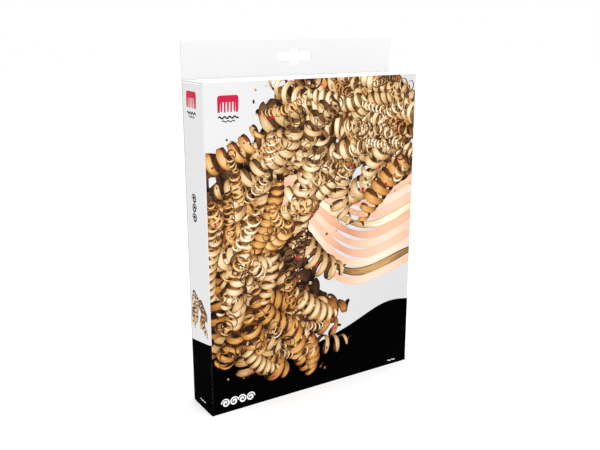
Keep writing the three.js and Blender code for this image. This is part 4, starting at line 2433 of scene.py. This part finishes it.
@dataclass
class Studio:
    """The pale floor, the soft lights and the camera.

    The camera's place is in millimetres and its turn in degrees. The floor's side and the lamps
    are in metres; a lamp is a name, a place, a side and a power in watts.
    """

    camera_place: Triple = (-395.6, -619.6, 369.8)
    camera_turn: Triple = (74.87, 0.0, -32.10)
    lens: float = 44.77
    sensor: float = 36.0
    floor_size: float = 12.0
    floor_tone: float = 0.78
    floor_glow: float = 0.32
    floor_roughness: float = 0.9
    aim: Triple = (0.0, 0.0, 0.16)
    lamps: tuple[tuple[str, Triple, float, float], ...] = (
        ("Key", (0.55, -1.5, 1.0), 1.2, 5.0),
        ("Top", (0.0, -0.2, 2.0), 1.0, 10.0),
    )

    def _floor(self) -> None:
        """Makes the flat floor that the carton stands on."""
        material = bpy.data.materials.new("Studio floor")
        material.use_nodes = True
        shader = material.node_tree.nodes["Principled BSDF"]
        shader.inputs["Base Color"].default_value = (*[self.floor_tone] * 3, 1.0)
        shader.inputs["Emission Color"].default_value = (1.0, 1.0, 1.0, 1.0)
        shader.inputs["Emission Strength"].default_value = self.floor_glow
        shader.inputs["Roughness"].default_value = self.floor_roughness
        half = self.floor_size / 2
        corners = np.array([(-half, -half, 0), (half, -half, 0), (half, half, 0), (-half, half, 0)], float)
        floor = finished_object("studio_floor", corners, [(0, 1, 2, 3)], [0], [material], smooth=False)

    def _light(self, name: str, place: Triple, size: float, power: float) -> None:
        """Adds a soft square light that faces the carton's middle.

        Args:
            name: its name.
            place: its place.
            size: the square's side.
            power: its power, in watts.
        """
        data = bpy.data.lights.new(name, "AREA")
        data.shape = "SQUARE"
        data.size = size
        data.energy = power
        lamp = bpy.data.objects.new(name, data)
        bpy.context.scene.collection.objects.link(lamp)
        lamp.location = place
        lamp.rotation_euler = (Vector(self.aim) - Vector(place)).to_track_quat("-Z", "Y").to_euler()

    def build(self) -> None:
        """Sets the whole studio up."""
        scene = bpy.context.scene
        world = bpy.data.worlds.new("Studio")
        world.use_nodes = True
        back = world.node_tree.nodes["Background"]
        back.inputs["Color"].default_value = (1.0, 1.0, 1.0, 1.0)
        back.inputs["Strength"].default_value = 1.0
        scene.world = world
        scene.view_settings.view_transform = "Standard"
        self._floor()
        for lamp in self.lamps:
            self._light(*lamp)
        data = bpy.data.cameras.new("Camera")
        data.lens = self.lens
        data.sensor_width = self.sensor
        camera = bpy.data.objects.new("Camera", data)
        scene.collection.objects.link(camera)
        camera.location = [value * MM for value in self.camera_place]
        camera.rotation_euler = Euler([math.radians(value) for value in self.camera_turn])
        scene.camera = camera


def dress_kept_nodes(palette: Palette) -> list[str]:
    """Gives the carton's kept solids their finish.

    Args:
        palette: the finishes.

    Returns:
        The names of the dressed nodes.
    """
    finishes = {
        "bottom_panel": palette.foot,
        "bottom_flap_left": palette.inside,
        "bottom_flap_right": palette.inside,
    }
    for name, material in finishes.items():
        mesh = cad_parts[name].data
        mesh.materials.clear()
        mesh.materials.append(material)
    return sorted(finishes)


def report(pieces: Iterable[Piece]) -> None:
    """Logs each piece's name and face count."""
    for piece in pieces:
        log.info("%s: %d faces", piece.name, len(piece.data.polygons))


def main() -> None:
    """Builds the carton's pieces in order."""
    logging.basicConfig(level=logging.INFO, format="%(name)s: %(message)s")
    Studio().build()
    sizes = Sizes.from_frame()
    palette = Palette(sizes)
    sleeve = Sleeve(sizes, palette)
    report([sleeve.build()])
    report([Hanger(sizes, palette).build()])
    report(Closure(sizes, palette).build())
    report(Graphics(sizes, palette, sleeve).build())
    log.info("kept solids: %s", ", ".join(dress_kept_nodes(palette)))


if __name__ == "__main__":
    main()
